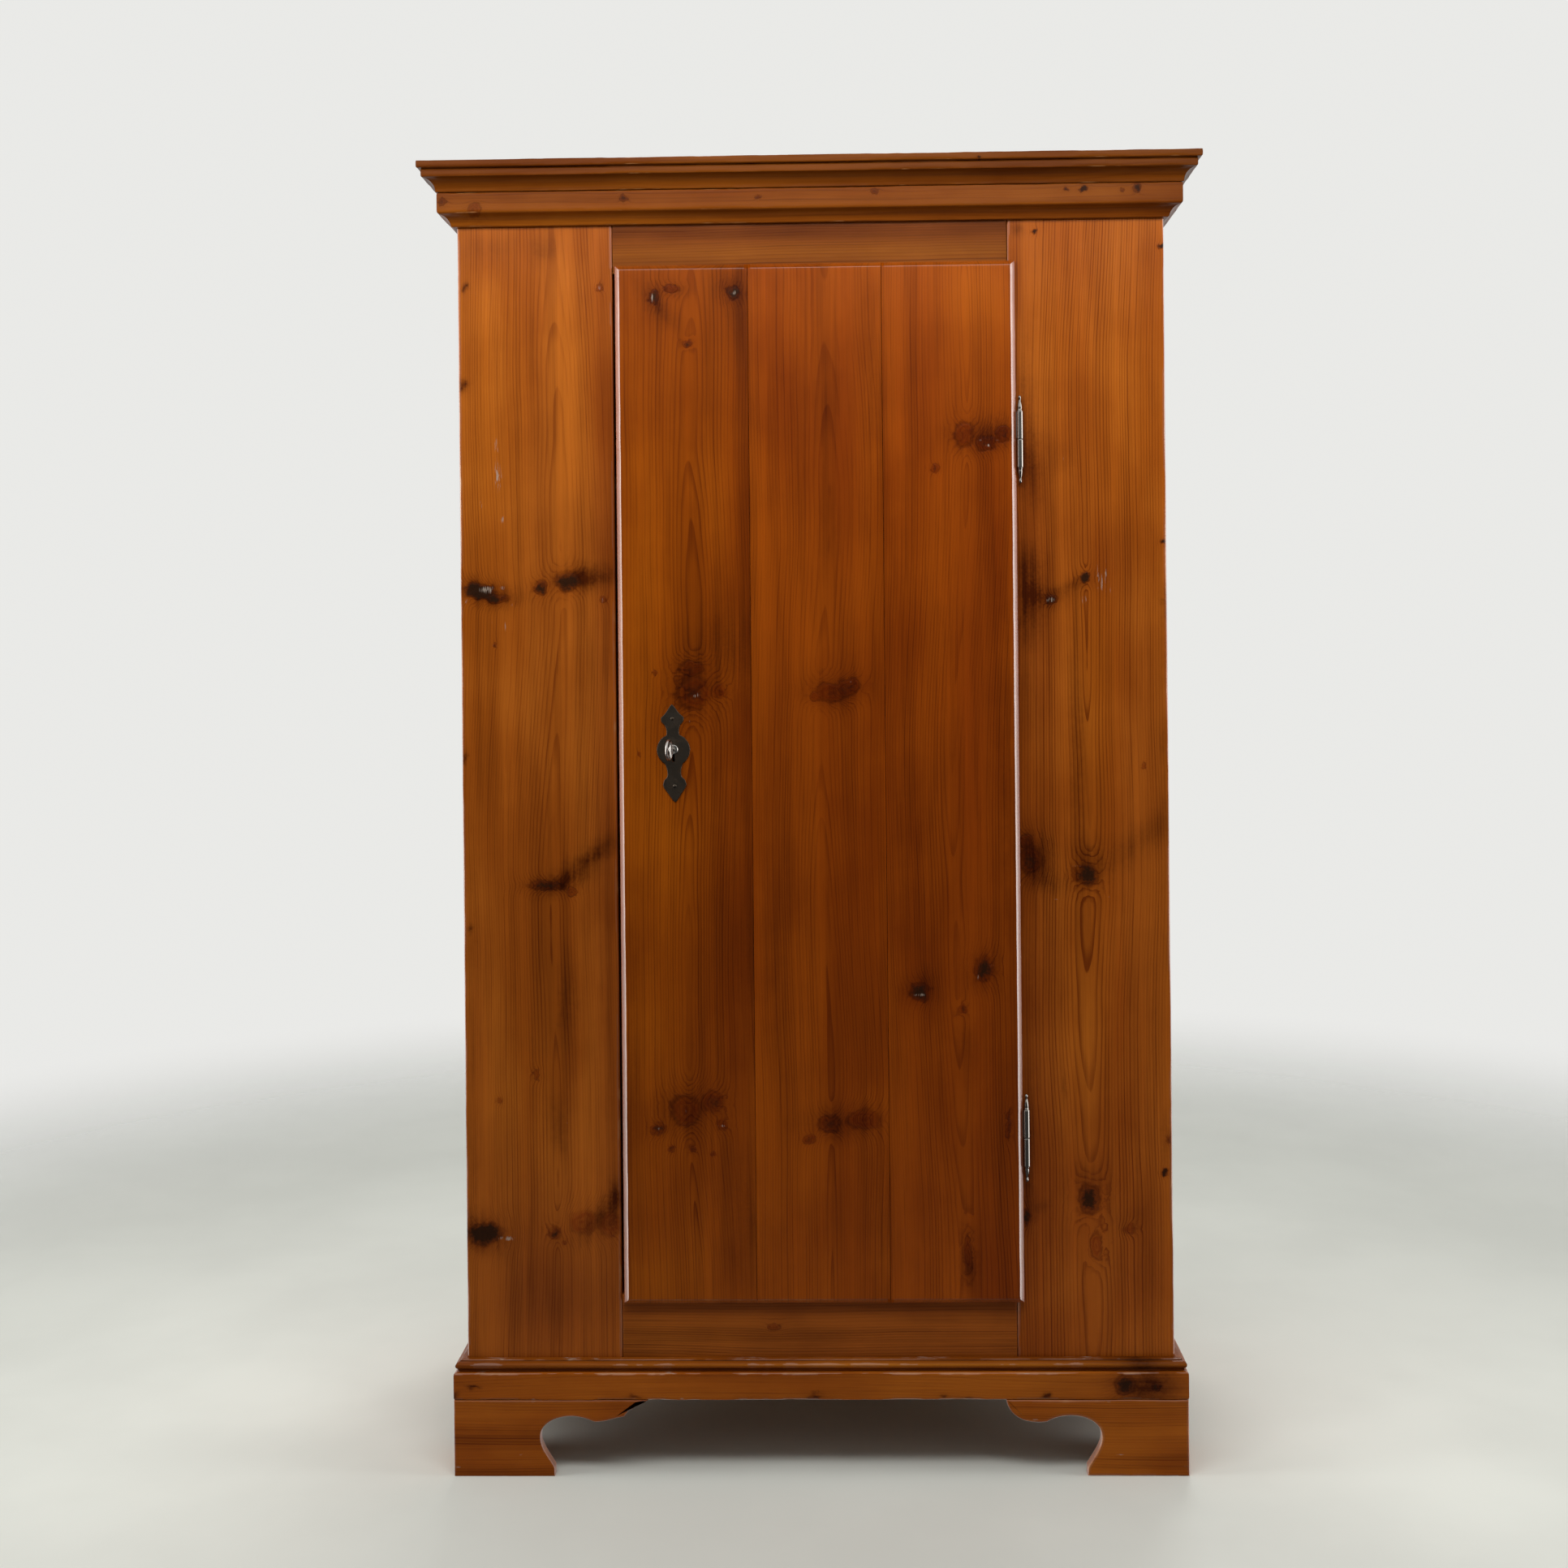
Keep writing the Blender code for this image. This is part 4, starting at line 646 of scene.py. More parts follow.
# Broad rows of the left stile: the wood's own tone and painted light and shade together.
LEFT_TONE_AND_LIGHT = in_metres(
    (-425, 1550, 30, 220, -0.12), (-290, 1000, 20, 800, 0.36), (-468, 1400, 20, 280, -0.2),
    (-292, 1350, 20, 160, 0.25), (-375, 230, 70, 60, 0.3), (-383, 1400, 22, 220, 0.2),
    (-470, 1730, 30, 40, 0.25), (-432, 500, 26, 200, -0.18), (-385, 540, 24, 160, -0.22),
    (-484, 600, 14, 150, 0.2), (-337, 1250, 18, 200, 0.12), (-292, 920, 16, 80, 0.25),
    (-400, 260, 100, 120, 0.26), (-400, 500, 100, 500, 0.1))
RIGHT_KNOTS = in_metres(
    (384, 1259, 8, 8, 1), (337, 1229, 8, 5.7, 0.7), (384, 840, 14.9, 16.1, 0.9),
    (305, 862, 16.1, 18.4, 0.6), (298, 889, 9.2, 9.2, 0.5), (382, 383, 14.9, 20.7, 0.85),
    (392, 317, 9.2, 18.4, 0.35), (440, 342, 6.9, 6.9, 0.4), (489, 420, 4.6, 5.7, 0.9),
    (495, 468, 3.4, 5.7, 0.6), (294, 358, 5.7, 11.5, 0.8), (320, 1750, 4, 4, 0.9),
    (496, 1726, 4, 4, 0.9), (464, 993, 2.3, 4.6, 0.4), (494, 1308, 4.6, 3.4, 0.8))
RIGHT_STAINS = in_metres(
    (300, 1520, 12, 90, 0.35), (314, 1390, 20, 60, 0.3), (307, 1267, 20.7, 34.4, 0.8),
    (320, 1233, 29.9, 16.1, 0.7), (306, 1198, 16.1, 29.9, 0.6), (305, 1450, 20, 70, 0.45),
    (309, 865, 23, 34.4, 0.8, -0.4), (338, 831, 23, 11.5, 0.3), (447, 883, 50.5, 23, 0.45, 0.6),
    (390, 858, 27.6, 25.3, 0.35), (368, 1247, 20.7, 9.2, 0.4, 0.3), (382, 414, 20.7, 20.7, 0.3),
    (295, 528, 11.5, 68.9, 0.3), (296, 379, 9.2, 45.9, 0.5), (313, 372, 9.2, 9.2, 0.3),
    (294, 1754, 11.5, 9.2, 0.35), (499, 1217, 3.4, 29.9, 0.8), (498, 1038, 4.6, 229.6, 0.2),
    (494, 471, 5.7, 45.9, 0.35), (353, 548, 4.6, 20.7, 0.3), (370, 1043, 6.9, 183.7, 0.25),
    (441, 357, 16.1, 16.1, 0.2), (357, 1433, 16.1, 23, 0.2), (296, 1112, 9.2, 68.9, 0.25),
    (293, 723, 9.2, 91.8, 0.2))
# Pale scratches, with a painted glint on a knot among them.
RIGHT_SCRATCHES_AND_GLINTS = in_metres(
    (403, 1259, 1.4, 16.1, 0.9), (408, 1250, 1.4, 13.8, 0.9), (414, 1263, 1.1, 20.7, 0.8),
    (420, 1247, 1.1, 16.1, 0.6), (381, 1229, 1.1, 5.7, 0.8), (385, 1228, 1.1, 5.7, 0.8),
    (336, 1229, 5.7, 2.9, 1), (357, 1430, 1.1, 8, 0.5), (500, 1232, 1.1, 18.4, 0.5),
    (369, 853, 9.2, 1.7, 0.4), (416, 809, 3.4, 1.1, 0.5), (340, 806, 4.6, 1.1, 0.5))
# Broad rows of the right stile: the wood's own tone and painted light and shade together, lighter
# patches that make up for the lamps among them.
RIGHT_TONE_AND_LIGHT = in_metres(
    (315, 1170, 28, 120, 0.34), (310, 560, 26, 260, 0.24), (408, 1290, 30, 50, 0.22),
    (304, 1440, 20, 130, 0.18), (450, 850, 40, 300, 0.16), (398, 1080, 30, 200, -0.32),
    (386, 640, 30, 120, -0.16), (345, 1600, 40, 130, -0.2), (448, 1480, 46, 200, -0.26))
STILES = (
    ("left", 12.3, (-0.370, 0.016, 1.00), 0.022, LEFT_KNOTS, LEFT_STAINS, LEFT_SCRATCHES_AND_GLINTS,
     LEFT_TONE_AND_LIGHT, ((0.358, 0.095, 0.0085), (0.306, 0.070, 0.0050), (0.170, 0.031, 0.0025)), 1.0),
    ("right", 15.1, (0.385, 0.014, 0.90), -0.020, RIGHT_KNOTS, RIGHT_STAINS, RIGHT_SCRATCHES_AND_GLINTS,
     RIGHT_TONE_AND_LIGHT, ((0.360, 0.091, 0.0080), (0.305, 0.065, 0.0045), (0.160, 0.028, 0.0020)), 1.3),
)
for side, seed, pith, taper, knots, stains, scratches_and_glints, tone_and_light_rows, colours, contrast in STILES:
    low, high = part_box(f"stile_{side}")
    fit(skin(f"front_stile_{side}", slab(rectangle((low.x, low.z), (high.x, high.z)),
                                         high.y - low.y, 0.0026, on_front, round(seed * 10))),
        pine(f"stile_pine_{side}", Z, X, seed, pith, taper, knots=knots,
             stains=stains, scratches_and_glints=scratches_and_glints, tone_and_light_rows=tone_and_light_rows, colours=colours, contrast=contrast,
             face=FACE_Y),
        "carcass", "front_pine", f"stile_{side}", gloss=0.7)
RAIL_COLOURS = ((0.225, 0.062, 0.0060), (0.172, 0.043, 0.0038), (0.092, 0.019, 0.0018))
LOW_RAIL_COLOURS = ((0.275, 0.068, 0.0070), (0.215, 0.050, 0.0045), (0.115, 0.023, 0.0020))
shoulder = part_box("stile_right")[0].x - 0.0003
# Broad rows on the rails: the wood's own tone and painted light and shade together, the top rail darker
# in its upper half under the cornice and lighter below it, the bottom rail darker just under the door.
for rail, seed, knots, tone_and_light_rows, colours in (
        ("top", 17.9, (), ((0.0, 1.756, 0.60, 0.013, 0.50), (0.0, 1.724, 0.60, 0.012, -0.34)),
         RAIL_COLOURS),
        ("bottom", 21.7, ((-0.064, 0.204, 0.009, 0.005, 0.4),),
         ((0.0, 0.230, 0.60, 0.010, 0.25), (-0.230, 0.185, 0.120, 0.030, -0.30)),
         LOW_RAIL_COLOURS)):
    low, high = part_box(f"rail_{rail}")
    fit(skin(f"front_rail_{rail}", slab(rectangle((-shoulder, low.z), (shoulder, high.z)),
                                        high.y - low.y, 0.0018, on_front, round(seed * 10))),
        pine(f"rail_pine_{rail}", X, Z, seed, (low.z - 0.08, 0.03, 0.0), 0.004,
             knots=lengthwise(knots), tone_and_light_rows=lengthwise(tone_and_light_rows), colours=colours, face=FACE_Y),
        "carcass", "front_pine", f"rail_{rail}", gloss=0.12)

# Cornice and base: the crown, the frieze with its cove, the base moulding and the plinth boards are
# run in pine with moulding planes, planted on the carcass and mitred at the two front corners.
HALF_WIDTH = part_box("stile_right")[1].x
REAR_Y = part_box("side_board_left")[1].y
MITRE_GAP = 0.0002
PLANTED = 0.0003


def quarter(start, stop, up_first, steps=9):
    """A quarter of an ellipse from start to stop, as (proud, z) points without the first. It
    sets off upwards and ends sideways, or the other way round."""
    turn = np.linspace(0, math.pi / 2, steps)[1:]
    out, up = 1 - np.cos(turn), np.sin(turn)
    if not up_first:
        out, up = up, out
    return [(start[0] + (stop[0] - start[0]) * a, start[1] + (stop[1] - start[1]) * b)
            for a, b in zip(out, up)]


def softened(corners, radius):
    """The closed profile with each corner replaced by a small curve that bends towards it."""
    before, after = np.roll(corners, 1, 0) - corners, np.roll(corners, -1, 0) - corners
    long_before, long_after = (np.linalg.norm(edge, axis=1)[:, None] for edge in (before, after))
    first = corners + before / long_before * np.minimum(radius, long_before * 0.45)
    last = corners + after / long_after * np.minimum(radius, long_after * 0.45)
    shares = np.array([0, 0.25, 0.5, 0.75, 1])[None, :, None]
    curve = ((1 - shares) ** 2 * first[:, None] + 2 * shares * (1 - shares) * corners[:, None]
             + shares ** 2 * last[:, None])
    return curve.reshape(-1, 2)


def measured(profile):
    """The profile closed by its first point again, its edges' lengths, and how far round it each
    point lies."""
    ends = np.concatenate([profile, profile[:1]])
    edges = np.linalg.norm(np.diff(ends, axis=0), axis=1)
    return ends, edges, np.concatenate([[0], np.cumsum(edges)])


def filled(profile, step):
    """The closed profile with points put into its long edges, so that none is longer than a step."""
    ends, edges, travelled = measured(profile)
    more = np.concatenate([np.linspace(start, stop, max(1, math.ceil(edge / step)), endpoint=False)
                           for start, stop, edge in zip(travelled, travelled[1:], edges)])
    return np.stack([np.interp(more, travelled, ends[:, axis]) for axis in (0, 1)], -1)


def run_round(name, corners, radius, seed, materials, rub=0.9, gloss=0.2):
    """Carries a profile of (proud, z) points along the front and back along both sides. Each place
    of the profile is drawn towards its neighbours' mean by a wandering share, which rubs the
    arrises down and leaves the flats alone."""
    profile = filled(softened(np.array(corners, float), radius), 0.0021)
    ends, _, travelled = measured(profile)
    near = travelled[:-1, None] + np.linspace(-0.0022, 0.0022, 13)[None, :]
    near = near % travelled[-1]
    mean = np.stack([np.interp(near, travelled, ends[:, axis]).mean(1) for axis in (0, 1)], -1)
    pull = mean - profile
    pull[profile[:, 0] < 0.001] = 0
    tangent = np.roll(profile, -1, 0) - np.roll(profile, 1, 0)
    inward = np.stack([-tangent[:, 1], tangent[:, 0]], -1)
    inward /= np.linalg.norm(inward, axis=1)[:, None]
    sharp = np.clip((pull * inward).sum(1) / 0.0005, -1, 1)
    for piece, span in (("front", 2 * HALF_WIDTH), ("left", 0.5), ("right", 0.5)):
        shares = np.linspace(0, 1, round(span / 0.004))
        seed += 7
        rubbed = 0.6 + wander(seed, shares * span, 0.05) + 0.5 * wander(seed + 1, shares * span, 0.013)
        rubbed = np.clip(rubbed, 0, 2)[:, None] * np.ones(len(profile)) * rub
        proud = profile[None, :, 0] + pull[None, :, 0] * rubbed
        z = profile[None, :, 1] + pull[None, :, 1] * rubbed
        if piece == "front":
            x = (2 * shares[:, None] - 1) * (HALF_WIDTH + proud - MITRE_GAP)
            y = FACE_Y - proud
        else:
            sign = -1 if piece == "left" else 1
            x = sign * (HALF_WIDTH + proud)
            front = FACE_Y - proud + MITRE_GAP
            y = front + (REAR_Y - front) * shares[:, None]
        rings = np.stack([x + 0 * z, y + 0 * z, z], -1)
        made = skin(f"{name}_{piece}_run", (rings, np.where(sharp > 0, sharp * rubbed, sharp), False))
        fit(made, materials[piece], "carcass", "front_pine", f"{name}_{piece}", gloss=gloss)


def darker(colours, share):
    """The same finish under more stain."""
    return [tuple(share * part for part in colour) for colour in colours]


def moulding_finish(name, seed, level, depth, knots=(), stains=(), scratches_and_glints=(), tone_and_light_rows=()):
    """The pine of one moulding: one finish for the front and one for both sides."""
    colours = darker((EARLY, EARLY_RED, LATE), depth)
    front = pine(f"{name}_front_pine", X, Z, seed, (level + 0.09, 0.02, 0.0), 0.004,
                 knots=lengthwise(knots), stains=lengthwise(stains), scratches_and_glints=lengthwise(scratches_and_glints),
                 tone_and_light_rows=lengthwise(tone_and_light_rows), colours=colours, contrast=0.5, face=FACE_Y)
    side = pine(f"{name}_side_pine", Y, Z, seed + 3.3, (level - 0.07, 0.03, 0.0), 0.004,
                colours=colours, contrast=0.5)
    return {"front": front, "left": side, "right": side}


def level_of(node):
    """The lowest and highest z of a CAD node."""
    low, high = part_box(node)
    return low.z, high.z


crown_low, crown_high = level_of("crown_moulding_front")
quirk_top = crown_high - 0.010
flat_top = quirk_top - 0.0022
cove_top = flat_top - 0.0095
crown = [(PLANTED, crown_low), (0.025, crown_low), (0.025, crown_low + 0.0015)]
crown += quarter((0.025, crown_low + 0.0015), (0.040, cove_top), True)
crown += [(0.0415, cove_top), (0.0415, flat_top), (0.040, quirk_top), (0.047, quirk_top),
          (0.047, crown_high), (PLANTED, crown_high)]
# The crown's broad row is painted shade: its cove darker towards the right end.
run_round("crown_moulding", crown, 0.0012, 100,
          moulding_finish("crown", 25.3, crown_low, 0.36, ((0.239, 1.842, 0.002, 0.002, 0.9),),
                          tone_and_light_rows=((0.30, crown_low + 0.012, 0.40, 0.016, 0.28),)))

frieze_low, frieze_high = level_of("frieze_board_front")
frieze = [(PLANTED, frieze_low), (0.007, frieze_low)]
frieze += quarter((0.007, frieze_low), (0.022, frieze_low + 0.0155), True)
frieze += [(0.0235, frieze_low + 0.017), (0.0235, frieze_high), (PLANTED, frieze_high)]
FRIEZE_KNOTS = in_metres(
    (-516, 1797, 5.7, 4.6, 0.6), (-470, 1785, 9.2, 8, 0.5), (-260, 1797, 5.2, 5, 0.7),
    (-72, 1797, 4.5, 2.6, 0.6), (93, 1802, 5.2, 4.2, 0.6), (359, 1801, 3.4, 3.4, 0.7),
    (383, 1801, 6.6, 3, 0.9), (437, 1798, 3.4, 3.4, 0.6), (460, 1802, 5.7, 5.5, 0.8))
# The frieze's broad rows: painted shade and light on its cove, darker towards the right end and lighter
# towards the left, and its face a little lighter at the right end.
run_round("frieze_board", frieze, 0.0012, 200,
          moulding_finish("frieze", 28.9, frieze_low, 0.48, FRIEZE_KNOTS, tone_and_light_rows=(
              (0.30, frieze_low + 0.006, 0.40, 0.009, 0.35),
              (-0.25, frieze_low + 0.006, 0.25, 0.009, -0.15), (0.43, 1.800, 0.10, 0.012, -0.15))))

PLINTH_PROUD = 0.017
plinth_low, plinth_high = level_of("plinth_board_front")
PLINTH_KNOTS = in_metres((428, 128, 14.5, 13, 0.8), (471, 124, 5.7, 4.6, 0.7))
PLINTH_STAINS = in_metres(
    (-491, 124, 8, 2.3, 0.9), (-517, 113, 4.6, 3.4, 0.9), (-261, 112, 9.2, 2.9, 0.9),
    (-2, 115, 8, 2.3, 0.8), (181, 117, 4.6, 3.4, 0.8), (213, 110, 10.3, 4.6, 0.9),
    (316, 111, 4.6, 3.4, 0.9), (464, 128, 36, 20, 0.8))
# Pale specks, with painted highlights along the plinth's arrises among them.
PLINTH_SCRATCHES_AND_GLINTS = in_metres(
    (-405, 108, 4, 1.5, 0.8), (-211, 144, 8, 1.3, 0.9), (-194, 108.5, 3, 2, 0.8),
    (290, 144, 6, 1.3, 0.8), (-300, 144, 12, 1, 0.7), (100, 144, 15, 1, 0.7),
    (-480, 144, 10, 1, 0.7), (200, 108.5, 4, 1.5, 0.6), (10, 108.5, 6, 1.2, 0.6))
# Broad rows on the plinth: lighter at the left and darker at the right, the wood's own tone and painted
# light and shade together.
PLINTH_TONE_AND_LIGHT = in_metres((-440, 125, 120, 30, -0.16), (450, 126, 50, 20, 0.25))
run_round("plinth_board", [(PLANTED, plinth_low), (PLINTH_PROUD, plinth_low),
                           (PLINTH_PROUD, plinth_high), (PLANTED, plinth_high)], 0.0014, 300,
          moulding_finish("plinth", 31.7, plinth_low, 0.92, PLINTH_KNOTS, PLINTH_STAINS,
                          PLINTH_SCRATCHES_AND_GLINTS, PLINTH_TONE_AND_LIGHT), rub=1.6, gloss=0.6)

base_low, base_high = level_of("base_moulding_front")
torus_low, torus_high = base_low + 0.0042, base_high - 0.0024
torus_middle = (torus_low + torus_high) / 2
base = [(PLANTED, base_low), (0.0115, base_low), (0.0115, torus_low)]
base += quarter((0.0115, torus_low), (0.015, torus_middle), False)
base += quarter((0.015, torus_middle), (0.0085, torus_high), True)
base += [(0.0085, base_high), (PLANTED, base_high)]
# Pale specks along the top of the base's ledge: wear, with painted highlight among it.
BASE_SCRATCHES_AND_GLINTS = ((-0.351, 0.012, 0.0012, 0.8), (-0.317, 0.006, 0.0012, 0.9), (-0.450, 0.020, 0.0010, 0.7),
              (-0.100, 0.030, 0.0010, 0.6), (0.150, 0.040, 0.0010, 0.6), (0.380, 0.015, 0.0010, 0.7))
# Broad rows on the base moulding: painted shade in the groove under the torus, a painted highlight along
# the torus, and a darker band along the top of the ledge at the right.
run_round("base_moulding", base, 0.0009, 400,
          moulding_finish(
              "base", 34.1, base_low, 0.60,
              scratches_and_glints=[(x, base_high, half_wide, half_tall, strength)
                     for x, half_wide, half_tall, strength in BASE_SCRATCHES_AND_GLINTS],
              stains=((0.446, base_low + 0.008, 0.030, 0.012, 0.7),),
              tone_and_light_rows=((0.0, torus_low - 0.001, 0.9, 0.0020, 0.6),
                      (0.10, torus_middle + 0.001, 0.40, 0.0016, -0.7),
                      (0.25, base_high, 0.30, 0.0016, 0.3))),
          gloss=0.6)

# Bracket feet: sawn from the same pine to an ogee outline and planted round the corner blocks, in
# front and on both sides, mitred at the front corners. They carry the plinth boards' front.
FOOT_SHARES = (((0.556, 0.110), (0.521, 0.262), (0.474, 0.374), (0.478, 0.542)),
               ((0.478, 0.542), (0.482, 0.748), (0.646, 0.888), (0.779, 0.706)),
               ((0.779, 0.706), (0.900, 0.675), (0.985, 0.780), (1.000, 1.000)))
BROKEN_WING = ((0.784, 0.712), (0.840, 0.728), (0.900, 0.765), (0.945, 0.788), (0.966, 0.862),
               (0.998, 0.896), (1.012, 0.955), (1.052, 0.972), (1.076, 1.000))
TOE_LAND = 0.11
FOOT_STEP = 0.005
FOOT_THICK = 0.0165
FRONT_SPAN, FRONT_TOE = 0.2552, 0.142
SIDE_SPAN, SIDE_REAR_SPAN, SIDE_TOE = 0.1997, 0.200, 0.112


def stepped(start, stop):
    """Points a step apart on the line from start to stop, without the last."""
    count = max(2, round(math.dist(start, stop) / FOOT_STEP))
    return np.array(start) + np.subtract(stop, start) * np.linspace(0, 1, count)[:-1, None]


def foot_outline(span, toe, height, broken):
    """The foot's (along, z) outline from the outer corner: the toe, three curves each worked out
    from four points, and the top edge. All its straight edges are cut into short steps. A broken
    foot has a ragged line in place of the last curve."""
    share = np.linspace(0, 1, 25)[:-1, None]
    curves = np.concatenate([
        (1 - share) ** 3 * np.array(a) + 3 * share * (1 - share) ** 2 * np.array(b)
        + 3 * share ** 2 * (1 - share) * np.array(c) + share ** 3 * np.array(d)
        for a, b, c, d in FOOT_SHARES])
    if broken:
        curves = np.concatenate([curves[:2 * len(share)], np.array(BROKEN_WING)])
    toe_share = FOOT_SHARES[0][0][0]
    near_toe = np.maximum(0, 1 - curves[:, 1] / TOE_LAND)
    along = curves[:, 0] * span + (toe - toe_share * span) * near_toe
    curve = np.stack([along, curves[:, 1] * height], -1)
    tip = (max(span, along[-1]), height)
    return np.concatenate([stepped((0, 0), (toe, 0)), stepped((toe, 0), curve[0]),
                           curve[:-1] if broken else curve,
                           stepped(tip, (0, height)), stepped((0, height), (0, 0))])


def foot(name, place, seed, material, span, toe, broken=False):
    """One bracket foot: its outline as a board, put where place says."""
    outline = foot_outline(span, toe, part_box(name)[1].z, broken)
    arris = 0.0012 if broken else 0.0022
    fit(skin(f"bracket_{name}", slab(outline, FOOT_THICK, arris, place, seed)),
        material, "carcass", "front_pine", name, gloss=0.5)


for side, sign, seed in (("left", -1, 36.5), ("right", 1, 39.2)):
    # Pale specks, with painted highlights along the feet's edges among them.
    scratches_and_glints = [(sign * x, *more) for x, *more in (
        (0.419, 0.030, 0.006, 0.0015, 0.7), (0.372, 0.020, 0.003, 0.0060, 0.8),
        (0.405, 0.105, 0.004, 0.0015, 0.7), (0.300, 0.079, 0.006, 0.0015, 0.8),
        (0.512, 0.014, 0.004, 0.0020, 0.7))]
    front_finish = pine(f"foot_pine_{side}", X, Z, seed, (0.19, 0.02, 0.0), 0.01,
                        colours=darker((EARLY, EARLY_RED, LATE), 0.85), scratches_and_glints=lengthwise(scratches_and_glints))
    side_finish = pine(f"foot_side_pine_{side}", Y, Z, seed + 1.1, (-0.09, 0.03, 0.0), 0.01)
    foot(f"foot_front_{side}", lambda along, z, depth: np.stack(
        [sign * (HALF_WIDTH + 0.0167 - along), FACE_Y - PLINTH_PROUD + depth, z], -1),
        500 + sign, front_finish, FRONT_SPAN, FRONT_TOE, broken=side == "left")
    foot(f"foot_side_{side}_front", lambda along, z, depth: np.stack(
        [sign * (HALF_WIDTH + PLINTH_PROUD - depth), FACE_Y - 0.0161 + along, z], -1),
        510 + sign, side_finish, SIDE_SPAN, SIDE_TOE)
    foot(f"foot_side_{side}_rear", lambda along, z, depth: np.stack(
        [sign * (HALF_WIDTH + PLINTH_PROUD - depth), REAR_Y - along, z], -1),
        520 + sign, side_finish, SIDE_REAR_SPAN, SIDE_TOE)

# Door: three glued pine boards, with a lip and a small bevel worked all round and a fine line at
# each glued joint. Two battens are dovetailed across the back, as the CAD has them.
DOOR_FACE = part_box("door_board_2")[0].y
DOOR_STEPS = (
    # moved in at a lipped edge, moved in at a glued joint, depth behind the door's face, wear
    (0.0098, 0.0016, 0.0000, 0.0), (0.0074, 0.0005, 0.0000, 0.3), (0.0067, 0.0003, 0.0002, 0.9),
    (0.0060, 0.0000, 0.0009, 0.6), (0.0007, 0.0000, 0.0054, 0.6), (0.0002, 0.0000, 0.0061, 0.8),
    (0.0000, 0.0000, 0.0070, 0.2), (0.0000, 0.0000, 0.0120, 0.1), (0.0005, 0.0000, 0.0125, 0.0),
    (0.0120, 0.0000, 0.0125, 0.0), (0.0125, 0.0000, 0.0130, 0.0), (0.0125, 0.0000, 0.0272, 0.0),
    (0.0131, 0.0004, 0.0280, 0.2), (0.0145, 0.0020, 0.0280, 0.0))
DOOR_KNOTS = (
    in_metres(
        (-220, 1661, 5.7, 10.3, 0.8), (-195, 1672, 11.5, 5.7, 0.4), (-108, 1664, 9.2, 9.2, 0.9),
        (-172, 1594, 5.7, 5.7, 0.7), (-171, 1137, 16.1, 10.3, 0.5), (-168, 1101, 23, 23, 0.55),
        (-131, 1106, 10.3, 10.3, 0.4), (-222, 1131, 3.4, 3.4, 0.5), (-247, 1015, 2.3, 4.6, 0.3),
        (-185, 514, 21.8, 20.7, 0.12), (-147, 525, 14.9, 14.9, 0.6), (-224, 488, 10.3, 8, 0.7),
        (-134, 493, 9.2, 6.9, 0.35), (-205, 459, 4.6, 4.6, 0.6), (-175, 461, 4.6, 4.6, 0.6),
        (-146, 453, 3.4, 3.4, 0.5)),
    in_metres(
        (26, 1101, 23, 12.6, 0.45), (49, 1108, 16.1, 11.5, 0.5), (1, 1095, 6.9, 6.9, 0.3),
        (17, 494, 16.1, 11.5, 0.6), (67, 500, 23, 13.8, 0.35), (-12, 472, 6.9, 6.9, 0.6)),
    in_metres(
        (216, 1462, 12.6, 17.2, 0.45), (246, 1449, 13.8, 10.3, 0.5), (270, 1462, 11.5, 10.3, 0.5),
        (175, 1415, 5.7, 5.7, 0.6), (145, 678, 13.8, 12.6, 0.85), (236, 710, 12.6, 17.2, 0.8),
        (206, 654, 5.7, 5.7, 0.6), (268, 492, 3.4, 18.4, 0.6), (211, 312, 4.6, 25.3, 0.4)))
DOOR_STAINS = (
    in_metres(
        (-211, 1647, 23, 16.1, 0.5, -0.8), (-190, 1672, 20.7, 9.2, 0.3),
        (-114, 1674, 18.4, 25.3, 0.5), (-105, 1623, 11.5, 45.9, 0.25), (-88, 1167, 36.7, 68.9, 0.4),
        (-165, 1115, 39, 43.6, 0.35), (-134, 1178, 29.9, 34.4, 0.25), (-106, 365, 23, 80.4, 0.4),
        (-93, 709, 11.5, 149.3, 0.3), (-182, 509, 55.1, 29.9, 0.3), (-73, 984, 16.1, 91.8, 0.2),
        (-262, 595, 11.5, 229.6, 0.15)),
    in_metres(
        (30, 1103, 43.6, 20.7, 0.45), (42, 496, 55.1, 20.7, 0.4), (91, 1506, 11.5, 137.8, 0.2),
        (-53, 709, 13.8, 172.2, 0.2), (24, 1394, 11.5, 172.2, 0.15)),
    in_metres(
        (236, 1459, 41.3, 18.4, 0.45), (266, 1463, 20.7, 16.1, 0.4), (145, 683, 23, 18.4, 0.4),
        (236, 707, 20.7, 27.6, 0.4), (209, 605, 11.5, 34.4, 0.2), (211, 295, 9.2, 34.4, 0.5),
        (138, 879, 16.1, 172.2, 0.2), (275, 935, 6.9, 229.6, 0.2), (187, 1164, 9.2, 172.2, 0.15)))
# Pale scratches, with painted glints on the knots among them.
DOOR_SCRATCHES_AND_GLINTS = (
    in_metres(
        (-222, 1662, 1.7, 6.9, 1.2), (-106, 1666, 3.4, 3.4, 0.6), (-165, 1099, 4, 3.4, 1.2),
        (-82, 987, 1.4, 18.4, 0.9), (-223, 488, 2.3, 2.3, 0.7), (-135, 492, 4.6, 1.7, 0.8),
        (-176, 1063, 2.3, 2.3, 0.4), (-185, 513, 2.3, 4.6, 0.25)),
    in_metres(
        (53, 1116, 2.3, 2.3, 0.3)),
    in_metres(
        (249, 1446, 3.4, 2.3, 0.8), (239, 1454, 2.3, 1.7, 0.5), (262, 1453, 3.4, 1.1, 0.4),
        (146, 675, 8, 2.3, 0.8), (228, 699, 2.3, 3.4, 0.8), (247, 716, 4.6, 2.3, 0.5)))
